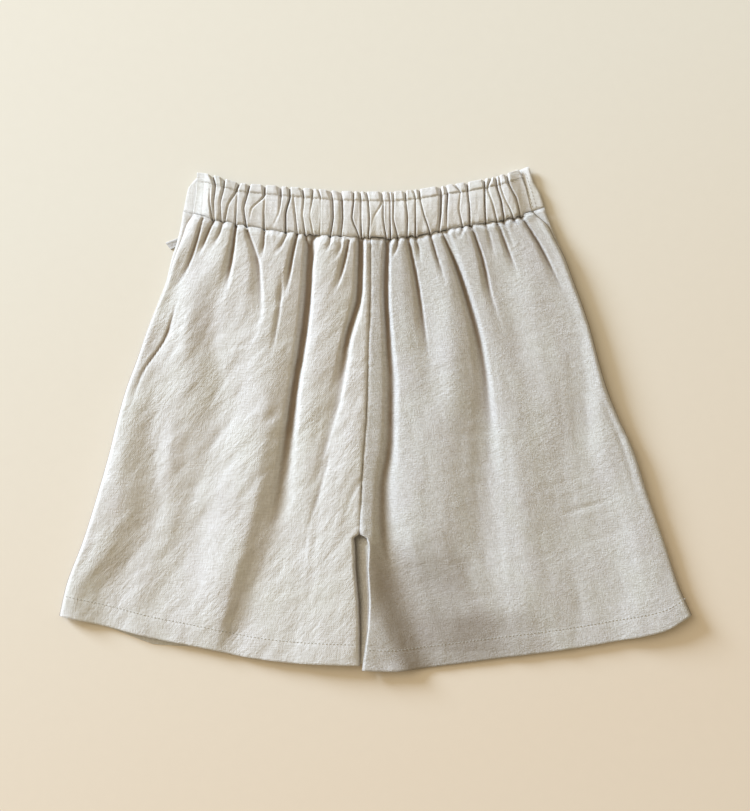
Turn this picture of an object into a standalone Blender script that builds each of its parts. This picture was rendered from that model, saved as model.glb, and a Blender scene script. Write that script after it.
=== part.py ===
"""Linen shorts lying flat on their front: two fronts, two backs, an elasticated back waistband
with a gathered heading, a flat front waistband and the free end of a drawstring.

X runs from the wearer's left to the right, Y from the hems up to the waist, Z up from the
surface that the shorts lie on. Tables are in millimetres from the middle of the shorts.
"""
import bmesh
import bpy
import numpy as np

MM = 0.001

# Driving sizes, in millimetres
CLOTH = 1.5          # linen panels
BAND_CLOTH = 1.9     # waistband, folded double round its elastic
HEM_EXTRA = 0.4      # a turned-up hem is thicker by this much
HEM_DEPTH = 21.0     # how far a hem is turned up
GAP = 0.3            # clearance at a seam
LAYER_GAP = 0.5      # clearance between a back and the front beneath it
TIE_WIDTH = 7.0      # flat drawstring
TIE_HEIGHT = 1.3
TIE_ROOM = 1.8       # the front lies this much higher where the drawstring passes beneath
CROTCH_Y = -109.0    # lowest point of the centre back seam
MIDDLE = (-0.729, 0.264)  # middle of the bounding box, taken from every point

# Edges seen from above
SIDES = [
    # y, left outline, left seam, right seam, right outline
    (212, -179.5, -173, 147, 157),
    (196.5, -182.5, -173, 147, 159.5),
    (183.5, -186, -180.5, 158, 163.5),
    (169, -191, -187, 166.5, 168.5),
    (153, -196, -193.5, 175, 175.5),
    (128, -201.5, -200.5, 185.5, 186),
    (112, -207.5, -207, 192, 192),
    (84.5, -216.5, -216.5, 202.5, 202.5),
    (56, -226.5, -226.5, 210, 210),
    (27.5, -237, -237, 218.5, 218.5),
    (-1, -245, -245, 230, 230),
    (-29.5, -252, -252, 243, 243),
    (-72, -264, -264, 256.5, 256.5),
    (-115, -277.5, -277.5, 271.5, 271.5),
    (-157.5, -293.5, -293.5, 286, 286),
    (-186, -300, -300, 299, 299),
]

WAIST = [
    # x, heading edge, waist seam
    (-182.5, 233, 197),
    (-169, 233, 192.5),
    (-152, 230, 187.5),
    (-129, 223, 183),
    (-105.5, 221, 178.5),
    (-66.5, 218, 174),
    (-27.5, 215, 171.5),
    (10.5, 214.5, 171),
    (37, 216.5, 173),
    (61, 220, 177.5),
    (89.5, 224, 182.5),
    (122.5, 231.5, 188.5),
    (136, 236, 192),
    (147, 239, 196.5),
    (159.5, 239, 200.5),
]

LEFT_HEM = [
    # x, y
    (-300, -186),
    (-254.5, -196.5),
    (-209, -208),
    (-163.5, -216.5),
    (-118, -226),
    (-72, -231),
    (-15, -233),
]

RIGHT_HEM = [
    # x, y
    (-13.5, -237.5),
    (13.5, -238.5),
    (64.5, -233.5),
    (121.5, -226),
    (178.5, -218.5),
    (224, -211),
    (270, -201.5),
    (299, -185),
]

# Inner edges of the two backs: centre seam to the crotch point, then the inseams
INNER = [
    # y, left back, right back, line that the cloth behind both follows
    (171.5, -5.5, -5.5, -5.5),
    (122.5, -5.5, -5.5, -5.5),
    (56, -7.5, -7.5, -7.5),
    (-1, -9.5, -9.5, -9.5),
    (-58, -14, -14, -13),
    (-98, -15, -15, -14.5),
    (-109, -15.5, -15.5, -14.5),
    (-112, -20.5, -9.5, -14.5),
    (-119.5, -19.5, -7, -14.5),
    (-140, -19, -8.5, -14.0),
    (-172, -16, -6.5, -13.5),
    (-198.5, -15, -8, -13.5),
    (-240, -15, -13.5, -14.2),
]

# The fronts meet along one line, the centre front seam and then the inseams
FRONT_INNER = [
    # y, x
    (171.5, -6),
    (-112, -9.5),
    (-140, -8.5),
    (-172, -9),
    (-210, -11.5),
    (-240, -14),
]

FRONT_BAND_TOP = [
    # x, y: its upper edge, seen at the ends and hidden behind the heading between them
    (-178, 219),
    (-152, 214),
    (-66, 207),
    (-2, 204),
    (66, 210),
    (110, 222),
    (135, 235),
    (145, 239),
]

BAND_ENDS = [
    # share up, left x, left y, right x, right y: the two seams that end the back waistband
    (0.0, -173, 194.6, 147, 196.9),
    (0.5, -170, 213, 141.5, 219),
    (1.0, -169, 233, 135, 236),
]

# Heights above the surface
PUFF = [
    # share down the leg, height of the back between its folds
    (0.00, 9.6),
    (0.04, 11.6),
    (0.12, 12.2),
    (0.30, 10.8),
    (0.60, 8.8),
    (0.85, 7.6),
    (1.00, 6.4),
]

BAND_PUFF = [
    # share up the band, height between its gathers
    (0.00, 9.6),
    (0.10, 10.8),
    (0.40, 11.6),
    (0.70, 10.9),
    (0.80, 9.4),
    (0.90, 10.2),
    (1.00, 10.8),
]

RISE = [
    # y, how far the front curls up at the left and right side edges
    (240, 0.8, 1.6),
    (150, 0.8, 3.0),
    (50, 0.8, 4.2),
    (-80, 0.8, 4.4),
    (-186, 0.8, 3.0),
    (-240, 0.8, 3.0),
]

HEM_LIFT = [
    # x, how far the back is lifted at its hem
    (-300, 0.0),
    (-150, 0.4),
    (-60, 1.6),
    (20, 1.8),
    (120, 0.6),
    (300, 0.8),
]

# Gathers of the waistband: a valley each, narrow and crisp
GATHERS = [
    # x at heading edge, x at its stitch, x half way down, x at waist seam, depth, width
    (-162.5, -162.5, -163.5, -164.5, 1.8, 6.5),
    (-152, -154, -157, -154, 3.2, 8.5),
    (-142.5, -145, -149, -144, 2.6, 7.5),
    (-133, -134, -138.5, -141.5, 1.8, 5.5),
    (-129, -130, -132, -132.5, 2.4, 7.5),
    (-119, -120, -122.5, -122, 3, 8.5),
    (-104, -105.5, -113, -118.5, 2.2, 6.5),
    (-103.5, -103.5, -105, -106.5, 2.5, 6.5),
    (-89.5, -90, -91, -96, 3, 8.5),
    (-81, -83.5, -85.5, -84.5, 3.6, 7.5),
    (-75, -76, -76, -75, 2.2, 7.5),
    (-68.5, -67.5, -66.5, -65.5, 2.8, 7.5),
    (-60, -59, -59.5, -55, 1.8, 8.5),
    (-42, -41, -40.5, -43, 3.6, 8.5),
    (-32.5, -31.5, -30.5, -26, 3, 8.5),
    (-21, -22, -22, -15.5, 2.8, 7.5),
    (-9, -7.5, -8.5, -5.5, 3, 7.5),
    (5.5, 6.5, 7.5, 10.5, 2.8, 7.5),
    (13.5, 14, 14, 14.5, 2.2, 5.5),
    (17, 18, 19, 21, 2, 5.5),
    (27.5, 28, 30.5, 31.5, 2.8, 8.5),
    (35, 37, 37.5, 38, 2.2, 6.5),
    (40, 42, 46.5, 51.5, 2.5, 7.5),
    (60, 59, 58, 58.5, 3.8, 8.5),
    (65.5, 66, 65.5, 67.5, 3.2, 7.5),
    (75, 75.5, 77, 80, 1.8, 7.5),
    (86.5, 86, 87.5, 90, 3.2, 8.5),
    (102.5, 102, 102.5, 104.5, 3.4, 7.5),
    (109, 106.5, 110, 115, 2, 6.5),
    (115, 114, 118, 121, 3.4, 7.5),
    (118, 120.5, 124.5, 129, 1.8, 6.5),
    (123.5, 125, 130, 136, 4, 8.5),
]

# Folds of the backs: a valley each, or a ridge where the depth is negative. The path runs
# from the top through a third and two thirds of the way to the end; the shares say how much
# of the depth is left at each end, skew how much of the width lies left of the path, and
# crisp how sharp the bottom is.
LEFT_FOLDS = [
    # name, y top, y end, x at top, x 1/3, x 2/3, x at end, depth, top share, end share, width top, width end, skew, crisp
    ("side crevice", 191, 127.5, -164.5, -170, -178.5, -193, 5, 0.8, 0, 8.5, 14, 0.5, 0.8),
    ("sharp side fold", 122.5, 4, -187, -205, -224, -232, 4, 0, 0, 7.5, 9.5, 0.35, 0.9),
    ("gather 2", 192, 147, -154, -157.5, -162.5, -169, 4, 0.9, 0, 8.5, 14, 0.6, 0.7),
    ("gather 3", 190, 157, -144.5, -145.5, -148, -152, 2.6, 0.9, 0, 7.5, 11.5, 0.6, 0.6),
    ("gather 4", 187.5, 99, -133, -135, -139.5, -147, 7, 0.7, 0, 11.5, 24.5, 0.68, 0.8),
    ("gather 5", 184.5, 70.5, -121.5, -119, -123.5, -133, 4.2, 0.8, 0, 9.5, 34, 0.6, 0.3),
    ("gather 6", 181.5, 120.5, -106.5, -107.5, -109, -113, 3.2, 0.9, 0, 8.5, 17, 0.6, 0.5),
    ("gather 7", 179.5, 155, -87.5, -91, -96, -102.5, 2.5, 0.9, 0, 8.5, 11.5, 0.55, 0.6),
    ("gather 7 below", 156, 37, -88.5, -95, -100.5, -105.5, 2.6, 0.2, 0, 9.5, 12.5, 0.5, 0.8),
    ("gather 8", 178, 98, -75, -80, -81.5, -81, 5, 0.8, 0, 7.5, 12.5, 0.45, 0.8),
    ("deep valley", 177, 44.5, -66.5, -60, -65.5, -72, 8.5, 0.6, 0.9, 12.5, 16, 0.72, 0.8),
    ("deep valley below", 44.5, -219.5, -72, -85.5, -104.5, -138, 7.7, 1, 0.25, 16, 49.5, 0.66, 0.45),
    ("gather 10", 177, 157, -54, -55, -56, -57, 2.5, 0.9, 0, 7.5, 11.5, 0.5, 0.6),
    ("gather 11", 178, 158.5, -43, -45.5, -50.5, -56, 2.2, 0.9, 0, 8.5, 12.5, 0.55, 0.5),
    ("gather 12", 175, 108.5, -26.5, -27.5, -34, -47.5, 5.2, 0.8, 0, 9.5, 23, 0.68, 0.6),
    ("gather 13", 175, 23, -15, -17, -23, -36, 7.2, 0.75, 0.4, 10.5, 19, 0.7, 0.8),
    ("gather 13 below", 23, -81.5, -36, -45.5, -56, -64.5, 3, 1, 0, 19, 26.5, 0.6, 0.3),
    ("thin crease", 4, -172, -36, -52, -65.5, -69.5, 1.2, 0, 0, 6.5, 8.5, 0.4, 0.8),
    ("soft sag 1", 113, -48.5, -146.5, -156, -161.5, -165.5, 2.4, 0, 0, 38, 43.5, 0.6, 0),
    ("soft sag 2", 8.5, -110, -216.5, -218.5, -218.5, -207, 2.4, 0, 0, 34, 42, 0.6, 0),
    ("soft sag 3", -96, -183.5, -260.5, -264, -267, -270, 2, 0, 0, 34, 34, 0.6, 0),
    ("long ridge", 173, -1, -99, -108.5, -115, -129, -1.8, 0.4, 0, 19, 28.5, 0.5, 0),
    ("seam ridge", 160.5, -96, -23, -19, -25.5, -29.5, -1.2, 0.6, 0.6, 13.5, 21, 0.5, 0),
]

RIGHT_FOLDS = [
    # name, y top, y end, x at top, x 1/3, x 2/3, x at end, depth, top share, end share, width top, width end, skew, crisp
    ("gather 14", 173, 8.5, 11.5, 8.5, 8.5, 10.5, 6.5, 0.7, 0.8, 15, 17, 0.75, 0.8),
    ("gather 14 below", 8.5, -143.5, 10.5, 5.5, 1, -2, 5.2, 1, 0.7, 17, 24.5, 0.7, 0.4),
    ("gather 15", 173, 157, 21, 21, 20, 19, 2.5, 0.9, 0, 7.5, 11.5, 0.5, 0.6),
    ("gather 16", 175, 80, 31.5, 35, 39, 43, 5.5, 0.8, 0, 10.5, 18, 0.65, 0.8),
    ("gather 17", 176, 157, 39, 40, 42, 43, 2.4, 0.9, 0, 7.5, 10.5, 0.5, 0.6),
    ("gather 18", 178, 124.5, 51.5, 56, 61, 66.5, 5, 0.8, 0, 8.5, 13.5, 0.45, 0.8),
    ("long valley", 179, 13.5, 62, 84.5, 98, 104.5, 7, 0.7, 0.6, 12.5, 28.5, 0.75, 0.7),
    ("long valley below", 13.5, -210, 104.5, 101.5, 98, 89.5, 4.2, 1, 0.3, 28.5, 61, 0.72, 0),
    ("small crease", 181.5, 160.5, 72, 77, 81, 85.5, 1.5, 0.6, 0, 5.5, 7.5, 0.5, 0.7),
    ("gather 20", 185.5, 122.5, 90, 100, 104.5, 109, 6, 0.8, 0, 10.5, 16, 0.5, 0.8),
    ("gather 21", 186.5, 126.5, 105.5, 110, 117, 121.5, 3, 0.8, 0, 9.5, 15, 0.5, 0.5),
    ("gather 22", 189, 134, 116, 125.5, 132, 136, 5, 0.8, 0, 8.5, 13.5, 0.5, 0.8),
    ("gather 23", 190, 164.5, 122.5, 127.5, 131, 135, 2, 0.8, 0, 7.5, 10.5, 0.5, 0.6),
    ("side valley", 195, 96, 136, 157, 171, 186, 6, 0.8, 0, 9.5, 18, 0.5, 0.8),
    ("side sag", 103.5, -58, 175, 191, 205, 214.5, 3.2, 0, 0, 38, 43.5, 0.6, 0),
    ("side crease", 32.5, -110, 211, 230, 243, 262, 1.5, 0, 0, 8.5, 11.5, 0.45, 0.7),
    ("inner hollow", -86.5, -236.5, 0, 11.5, 28.5, 49.5, 5.5, 0, 0.8, 28.5, 53, 0.6, 0.2),
    ("hem sag", -157.5, -224, 160.5, 156, 151, 146.5, 2, 0, 0.8, 32.5, 38, 0.5, 0),
    ("long ridge", 177, -172, 89.5, 108.5, 117, 125.5, -2.2, 0.2, 0.2, 21, 49.5, 0.5, 0),
    ("inner ridge", 156, -115, 18, 18, 20, 24.5, -1.4, 0.5, 0.4, 15, 28.5, 0.5, 0),
]

LINENS = {
    # node: base colour
    "back_left": (0.690, 0.655, 0.585),
    "back_right": (0.655, 0.612, 0.535),
    "front_left": (0.600, 0.545, 0.460),
    "front_right": (0.600, 0.545, 0.460),
    "waistband_back": (0.680, 0.643, 0.570),
    "waistband_front": (0.660, 0.622, 0.550),
    "tie": (0.620, 0.570, 0.480),
}


def column(table, index):
    return np.array([row[index] for row in table], float)


def smooth(xs, ys, x):
    """Read a table along a smooth curve that never overshoots its rows."""
    order = np.argsort(xs)
    xs = np.asarray(xs, float)[order]
    ys = np.asarray(ys, float)[order]
    step = np.diff(xs)
    slope = np.diff(ys) / step
    tangent = np.empty(len(xs))
    tangent[0] = slope[0]
    tangent[-1] = slope[-1]
    same = slope[:-1] * slope[1:] > 0
    total = np.where(same, slope[:-1] + slope[1:], 1.0)
    tangent[1:-1] = np.where(same, 2.0 * slope[:-1] * slope[1:] / total, 0.0)
    x = np.clip(x, xs[0], xs[-1])
    i = np.clip(np.searchsorted(xs, x) - 1, 0, len(step) - 1)
    t = (x - xs[i]) / step[i]
    rise = t * t * (3.0 - 2.0 * t)
    return (ys[i] * (1.0 - rise) + ys[i + 1] * rise
            + step[i] * t * (1.0 - t) * (tangent[i] * (1.0 - t) - tangent[i + 1] * t))


def ease(t):
    t = np.clip(t, 0.0, 1.0)
    return t * t * (3.0 - 2.0 * t)


def outline_x(side, y):
    return smooth(column(SIDES, 0), column(SIDES, 1 if side == "left" else 4), y)


def seam_x(side, y):
    return smooth(column(SIDES, 0), column(SIDES, 2 if side == "left" else 3), y)


def inner_x(side, y):
    return np.interp(-y, -column(INNER, 0), column(INNER, 1 if side == "left" else 2))


def waist_y(x):
    return smooth(column(WAIST, 0), column(WAIST, 2), x)


def heading_y(x):
    return smooth(column(WAIST, 0), column(WAIST, 1), x)


def hem_y(side, x):
    hem = LEFT_HEM if side == "left" else RIGHT_HEM
    return smooth(column(hem, 0), column(hem, 1), x)


def valley(offset, width, skew, crisp):
    """Depth of a fold, 1 at its path and 0 at its edges."""
    half = np.where(offset < 0.0, width * skew, width * (1.0 - skew))
    q = np.clip(np.abs(offset) / half, 0.0, 1.0)
    return crisp * (1.0 - q) ** 2 + (1.0 - crisp) * 0.5 * (1.0 + np.cos(np.pi * q))


def fold_depth(fold, x, y):
    """Depth that one row of a folds table takes from the cloth at each point."""
    (_, y_top, y_end, x_top, x_third, x_two, x_end, depth,
     top, end, width_top, width_end, skew, crisp) = fold
    t = (y_top - y) / (y_top - y_end)
    path = smooth((0.0, 1 / 3, 2 / 3, 1.0), (x_top, x_third, x_two, x_end), t)
    width = width_top + (width_end - width_top) * np.clip(t, 0.0, 1.0)
    share = np.where(t < 0.35, top + (1.0 - top) * ease(t / 0.35),
                     end + (1.0 - end) * (1.0 - ease((t - 0.35) / 0.65)))
    share = np.where((t < 0.0) | (t > 1.0), 0.0, share)
    return depth * share * valley(x - path, width, skew, crisp)


def front_under(side, x, y):
    """Underside of the front: flat on the surface, over the drawstring, curled up at the side."""
    drop = waist_y(x) - y
    room = TIE_ROOM * (1.0 - ease((drop - 38.0) / 42.0))
    rise = smooth(column(RISE, 0), column(RISE, 1 if side == "left" else 2), y)
    inside = np.abs(x - outline_x(side, y))
    return room + rise * (1.0 - np.clip(inside / 24.0, 0.0, 1.0)) ** 2


def hem_thickness(side, x, y):
    return CLOTH + np.where(y < hem_y(side, x) + HEM_DEPTH, HEM_EXTRA, 0.0)


def back_top(side, x, y):
    """Upper face of a back: puffed up, folded, and rolled down at its side seam and inseam."""
    waist = waist_y(x)
    down = np.clip((waist - y) / (waist - hem_y(side, x)), 0.0, 1.0)
    height = smooth(column(PUFF, 0), column(PUFF, 1), down)
    height = height + smooth(column(HEM_LIFT, 0), column(HEM_LIFT, 1), x) * ease((down - 0.6) / 0.4)
    rim = front_under(side, x, y) + 2.0 * CLOTH + LAYER_GAP + 0.6
    depth = 0.0
    for fold in LEFT_FOLDS if side == "left" else RIGHT_FOLDS:
        depth = depth + fold_depth(fold, x, y)
    floor = rim - 0.5
    height = floor + np.logaddexp(0.0, 1.4 * (height - depth - floor)) / 1.4
    roll = 9.0 if side == "left" else 12.0
    inside = np.abs(x - seam_x(side, y))
    near = np.clip(1.0 - inside / roll, 0.0, 1.0)
    height = rim + (height - rim) * np.sqrt(1.0 - near ** 2)
    inner = np.abs(x - inner_x(side, y))
    legs = ease((CROTCH_Y + 6.0 - y) / 12.0)
    near = np.clip(1.0 - inner / 6.0, 0.0, 1.0)
    height = height + legs * (rim + 0.8 - height) * (1.0 - np.sqrt(1.0 - near ** 2))
    groove = np.clip(1.0 - inner / 3.5, 0.0, 1.0) ** 2 * (0.9 if side == "left" else 1.7)
    return np.maximum(height - (1.0 - legs) * groove, floor)


def band_top(x, y):
    """Upper face of the back waistband with its gathers and the waves of its heading."""
    low = waist_y(x)
    up = np.clip((y - low) / (heading_y(x) - low), 0.0, 1.0)
    height = smooth(column(BAND_PUFF, 0), column(BAND_PUFF, 1), up)
    depth = 0.0
    for edge, stitch, half, seam, deep, width in GATHERS:
        path = np.interp(up, (0.0, 0.4, 0.8, 1.0), (seam, half, stitch, edge))
        depth = depth + deep * valley(x - path, width, 0.55, 0.6)
    height = height - depth
    for end in (BAND_ENDS_X["left"](up), BAND_ENDS_X["right"](up)):
        inside = np.abs(x - end)
        height = height - (height - 6.6) * (1.0 - ease(inside / 16.0))
    return np.maximum(height, 5.8)


BAND_ENDS_X = {
    "left": lambda up: np.interp(up, column(BAND_ENDS, 0), column(BAND_ENDS, 1)),
    "right": lambda up: np.interp(up, column(BAND_ENDS, 0), column(BAND_ENDS, 3)),
}


def steep(top, x, y):
    """How much longer than its normal thickness an upright line through the cloth is."""
    across = top(x + 0.6, y) - top(x - 0.6, y)
    along = top(x, y + 0.6) - top(x, y - 0.6)
    return np.minimum(np.sqrt(1.0 + (across / 1.2) ** 2 + (along / 1.2) ** 2), 1.7)


def patch(top, bottom, left, right, share, down):
    """Point of a sheet spanned between its four edges."""
    share = np.asarray(share, float)
    a, b, c, d = top(0.0), top(1.0), bottom(0.0), bottom(1.0)
    sheet = []
    for k in (0, 1):
        ruled = (1.0 - down) * top(share)[k] + down * bottom(share)[k]
        sides = (1.0 - share) * left(down)[k] + share * right(down)[k]
        corners = ((1.0 - down) * ((1.0 - share) * a[k] + share * b[k])
                   + down * ((1.0 - share) * c[k] + share * d[k]))
        sheet.append(ruled + sides - corners)
    return sheet[0], sheet[1]


def strip(upper, lower, first, second):
    """Triangles between two rows of points that may differ in number."""
    triangles = []
    i = 0
    j = 0
    while i < len(upper) - 1 or j < len(lower) - 1:
        end = j == len(lower) - 1
        if end or (i < len(upper) - 1 and upper[i + 1] <= lower[j + 1]):
            triangles.append((first + i, second + j, first + i + 1))
            i += 1
        else:
            triangles.append((first + i, second + j, second + j + 1))
            j += 1
    return triangles


def wall(name, rows):
    """Close rows of (shares, x, y, top z, bottom z) into one solid sheet of cloth."""
    points = []
    starts = []
    for shares, x, y, top, _ in rows:
        starts.append(len(points))
        points += [(a, b, c) for a, b, c in zip(x, y, top)]
    under = len(points)
    for shares, x, y, _, bottom in rows:
        points += [(a, b, c) for a, b, c in zip(x, y, bottom)]
    faces = []
    for r in range(len(rows) - 1):
        faces += strip(rows[r][0], rows[r + 1][0], starts[r], starts[r + 1])
    faces += [(c + under, b + under, a + under) for a, b, c in faces]
    first = [starts[0] + i for i in range(len(rows[0][0]))]
    last = [starts[-1] + i for i in range(len(rows[-1][0]))]
    left = starts
    right = [s + len(row[0]) - 1 for s, row in zip(starts, rows)]
    for edge in (first[::-1], left, last, right[::-1]):
        for a, b in zip(edge, edge[1:]):
            faces.append((a, a + under, b + under))
            faces.append((a, b + under, b))
    return solid(name, points, faces)


def solid(name, points, faces):
    """Make a named object of one material from points in millimetres."""
    mesh = bpy.data.meshes.new(name)
    middle = (MIDDLE[0], MIDDLE[1], 0.0)
    mesh.from_pydata([tuple((p - m) * MM for p, m in zip(point, middle)) for point in points],
                     [], faces)
    shape = bmesh.new()
    shape.from_mesh(mesh)
    bmesh.ops.recalc_face_normals(shape, faces=shape.faces)
    shape.to_mesh(mesh)
    shape.free()
    material = bpy.data.materials.new("linen_" + name)
    material.use_nodes = True
    shader = material.node_tree.nodes["Principled BSDF"]
    shader.inputs["Base Color"].default_value = (*LINENS[name], 1.0)
    shader.inputs["Roughness"].default_value = 0.9
    shader.inputs["Metallic"].default_value = 0.0
    mesh.materials.append(material)
    thing = bpy.data.objects.new(name, mesh)
    bpy.context.scene.collection.objects.link(thing)
    return thing


def between(shares, parts):
    """Put the same number of steps between each pair of valleys."""
    steps = [a + (b - a) * i / parts for a, b in zip(shares, shares[1:]) for i in range(parts)]
    return steps + [shares[-1]]


def band_columns(left, right):
    """Shares across the waistband: every gather's valley and two points between valleys."""
    valleys = sorted(row[3] for row in GATHERS if left + 2.5 < row[3] < right - 2.5)
    return between([0.0] + [(x - left) / (right - left) for x in valleys] + [1.0], 3)


def fold_columns(side, first, second, down):
    """Shares across a back at one level: they keep to the valleys that start at its waist."""
    valleys = []
    for fold in LEFT_FOLDS if side == "left" else RIGHT_FOLDS:
        _, y_top, y_end, x_top, x_third, x_two, x_end, depth = fold[:8]
        if y_top < 165.0 or depth < 2.0:
            continue
        y = max(waist_y(x_top) * (1.0 - down) + hem_y(side, x_top) * down, y_end)
        t = (y_top - y) / (y_top - y_end)
        x = smooth((0.0, 1 / 3, 2 / 3, 1.0), (x_top, x_third, x_two, x_end), t)
        left, right = sorted((float(seam_x(side, y)), float(inner_x(side, y))))
        valleys.append((float(x) - left) / (right - left))
    shares = [0.0]
    for valley_share in sorted(valleys):
        shares.append(max(valley_share, shares[-1] + 0.022))
    return between(shares + [1.0], 3)


BACK_DOWN = (0.0, 0.02, 0.05, 0.085, 0.125, 0.17, 0.22, 0.275, 0.335, 0.4, 0.47, 0.54,
             0.61, 0.66, 0.692, 0.7015, 0.735, 0.78, 0.83, 0.88, 0.925, 0.947, 0.953, 1.0)


def build_back(side):
    """A back panel from its waist seam to its hem."""
    left = side == "left"
    seam_start = (-173.0, 194.0) if left else (147.0, 196.0)
    hem = LEFT_HEM if left else RIGHT_HEM
    outer = hem[0] if left else hem[-1]
    inner_end = hem[-1] if left else hem[0]
    nudge = -GAP / 2 if left else GAP / 2

    def inner(down):
        y = waist_y(-5.5) - GAP / 2 + (inner_end[1] - waist_y(-5.5) + GAP / 2) * down
        return np.interp(-y, -column(INNER, 0), column(INNER, 3)) + nudge, y

    def outside(down):
        y = seam_start[1] + (outer[1] - seam_start[1]) * down
        return seam_x(side, y) if down > 0 else seam_start[0], y

    first, second = (outside, inner) if left else (inner, outside)
    top_ends = first(0.0)[0], second(0.0)[0]
    hem_ends = first(1.0)[0], second(1.0)[0]

    def top(share):
        x = top_ends[0] + (top_ends[1] - top_ends[0]) * share
        return x, waist_y(x) - GAP / 2

    def bottom(share):
        x = hem_ends[0] + (hem_ends[1] - hem_ends[0]) * share
        return x, hem_y(side, x)

    coarse = list(np.linspace(0.0, 1.0, 37))
    edge = 0.012
    coarse = coarse[:1] + [edge] + coarse[1:-1] + [1.0 - edge] + coarse[-1:]
    rows = []
    for down in BACK_DOWN:
        shares = fold_columns(side, first, second, down) if down < 0.25 else coarse
        x, y = patch(top, bottom, first, second, shares, down)
        edge_x, edge_y = inner(down)
        shift = inner_x(side, edge_y) + nudge - edge_x
        x = x + shift * np.clip(1.0 - np.abs(x - edge_x) / 16.0, 0.0, 1.0) ** 2
        height = back_top(side, x, y)
        thick = hem_thickness(side, x, y) * steep(lambda a, b: back_top(side, a, b), x, y)
        lowest = front_under(side, x, y) + CLOTH + LAYER_GAP
        rows.append((shares, x, y, height, np.maximum(height - thick, lowest)))
    return wall("back_" + side, rows)


def build_front(side):
    """A front panel, nearly flat, from the front waistband to its hem."""
    left = side == "left"
    start = SIDE_STARTS[side]
    hem = LEFT_HEM if left else RIGHT_HEM
    outer = hem[0] if left else hem[-1]
    nudge = -GAP / 2 if left else GAP / 2

    def hem_line(x):
        shown = 3.6 * np.clip(1.0 - np.abs(x + 218.0) / 55.0, 0.0, 1.0) if left else 0.0 * x
        return hem_y(side, x) + 1.5 - shown

    inner_end = hem_line(FRONT_INNER[-1][1] + nudge)

    def inner(down):
        y = waist_y(-6.0) - GAP / 2 + (inner_end - waist_y(-6.0) + GAP / 2) * down
        return np.interp(-y, -column(FRONT_INNER, 0), column(FRONT_INNER, 1)) + nudge, y

    def outside(down):
        y = start[1] + (hem_line(outer[0]) - start[1]) * down
        return outline_x(side, y) if down > 0 else start[0], y

    first, second = (outside, inner) if left else (inner, outside)
    top_ends = first(0.0)[0], second(0.0)[0]
    hem_ends = first(1.0)[0], second(1.0)[0]

    def top(share):
        x = top_ends[0] + (top_ends[1] - top_ends[0]) * share
        return x, waist_y(x) - GAP / 2

    def bottom(share):
        x = hem_ends[0] + (hem_ends[1] - hem_ends[0]) * share
        return x, hem_line(x)

    shares = [0.0, 0.02, 0.045, 0.08, 0.13, 0.2, 0.32, 0.46, 0.6, 0.74, 0.88, 1.0]
    if not left:
        shares = [1.0 - s for s in reversed(shares)]
    rows = []
    for down in (0.0, 0.05, 0.1, 0.14, 0.18, 0.23, 0.3, 0.4, 0.5, 0.6, 0.7, 0.78, 0.86, 0.93, 1.0):
        x, y = patch(top, bottom, first, second, shares, down)
        under = front_under(side, x, y)
        rows.append((shares, x, y, under + CLOTH, under))
    return wall("front_" + side, rows)


SIDE_STARTS = {"left": (-182.6, 196.6), "right": (159.7, 199.9)}


def build_band_back():
    """The elasticated back waistband: gathered casing with the heading above it."""
    def end(x_at, y_at):
        return lambda down: (np.interp(1.0 - down, column(BAND_ENDS, 0), column(BAND_ENDS, x_at)),
                             np.interp(1.0 - down, column(BAND_ENDS, 0), column(BAND_ENDS, y_at)))

    first = end(1, 2)
    second = end(3, 4)
    top_ends = first(0.0)[0], second(0.0)[0]
    seam_ends = first(1.0)[0], second(1.0)[0]

    def top(share):
        x = top_ends[0] + (top_ends[1] - top_ends[0]) * share
        return x, heading_y(x)

    def bottom(share):
        x = seam_ends[0] + (seam_ends[1] - seam_ends[0]) * share
        return x, waist_y(x) + GAP / 2

    shares = band_columns(*seam_ends)
    rows = []
    for down in (0.0, 0.1, 0.19, 0.3, 0.52, 0.76, 0.92, 1.0):
        x, y = patch(top, bottom, first, second, shares, down)
        height = band_top(x, y)
        thick = BAND_CLOTH * np.minimum(steep(band_top, x, y), 1.35)
        lowest = TIE_ROOM + CLOTH + LAYER_GAP
        rows.append((shares, x, y, height, np.maximum(height - thick, lowest)))
    return wall("waistband_back", rows)


def build_band_front():
    """The flat front waistband, which reaches round to both ends of the back one."""
    def first(down):
        return (np.interp(down, (0.0, 0.5, 1.0), (-178.0, -179.6, -182.6)),
                np.interp(down, (0.0, 0.5, 1.0), (219.0, 212.0, 197.2)))

    def second(down):
        return (np.interp(down, (0.0, 0.5, 1.0), (144.5, 152.5, 159.7)),
                np.interp(down, (0.0, 0.5, 1.0), (239.0, 220.0, 200.7)))

    def top(share):
        x = -178.0 + 322.5 * share
        return x, smooth(column(FRONT_BAND_TOP, 0), column(FRONT_BAND_TOP, 1), x)

    def bottom(share):
        x = -182.6 + 342.3 * share
        return x, waist_y(x) + GAP / 2

    shares = [0.0, 0.02, 0.045, 0.08] + [0.08 + 0.84 * i / 10 for i in range(1, 10)]
    shares += [0.92, 0.955, 0.98, 1.0]
    rows = []
    for down in (0.0, 0.25, 0.5, 0.75, 1.0):
        x, y = patch(top, bottom, first, second, shares, down)
        end = np.minimum(np.array(shares), 1.0 - np.array(shares))
        rise = (1.0 - np.clip(end / 0.05, 0.0, 1.0)) ** 2
        under = TIE_ROOM + 0.0 * x + 0.4 * rise
        rows.append((shares, x, y, under + CLOTH, under))
    return wall("waistband_front", rows)


TIE_PATH = [
    # x, y along the middle of the drawstring, from its free end to the centre front
    (-197, 164),
    (-188, 167.7),
    (-177, 172),
    (-160, 178),
    (-129, 184),
    (-72, 184),
    (-20, 178),
]


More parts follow.
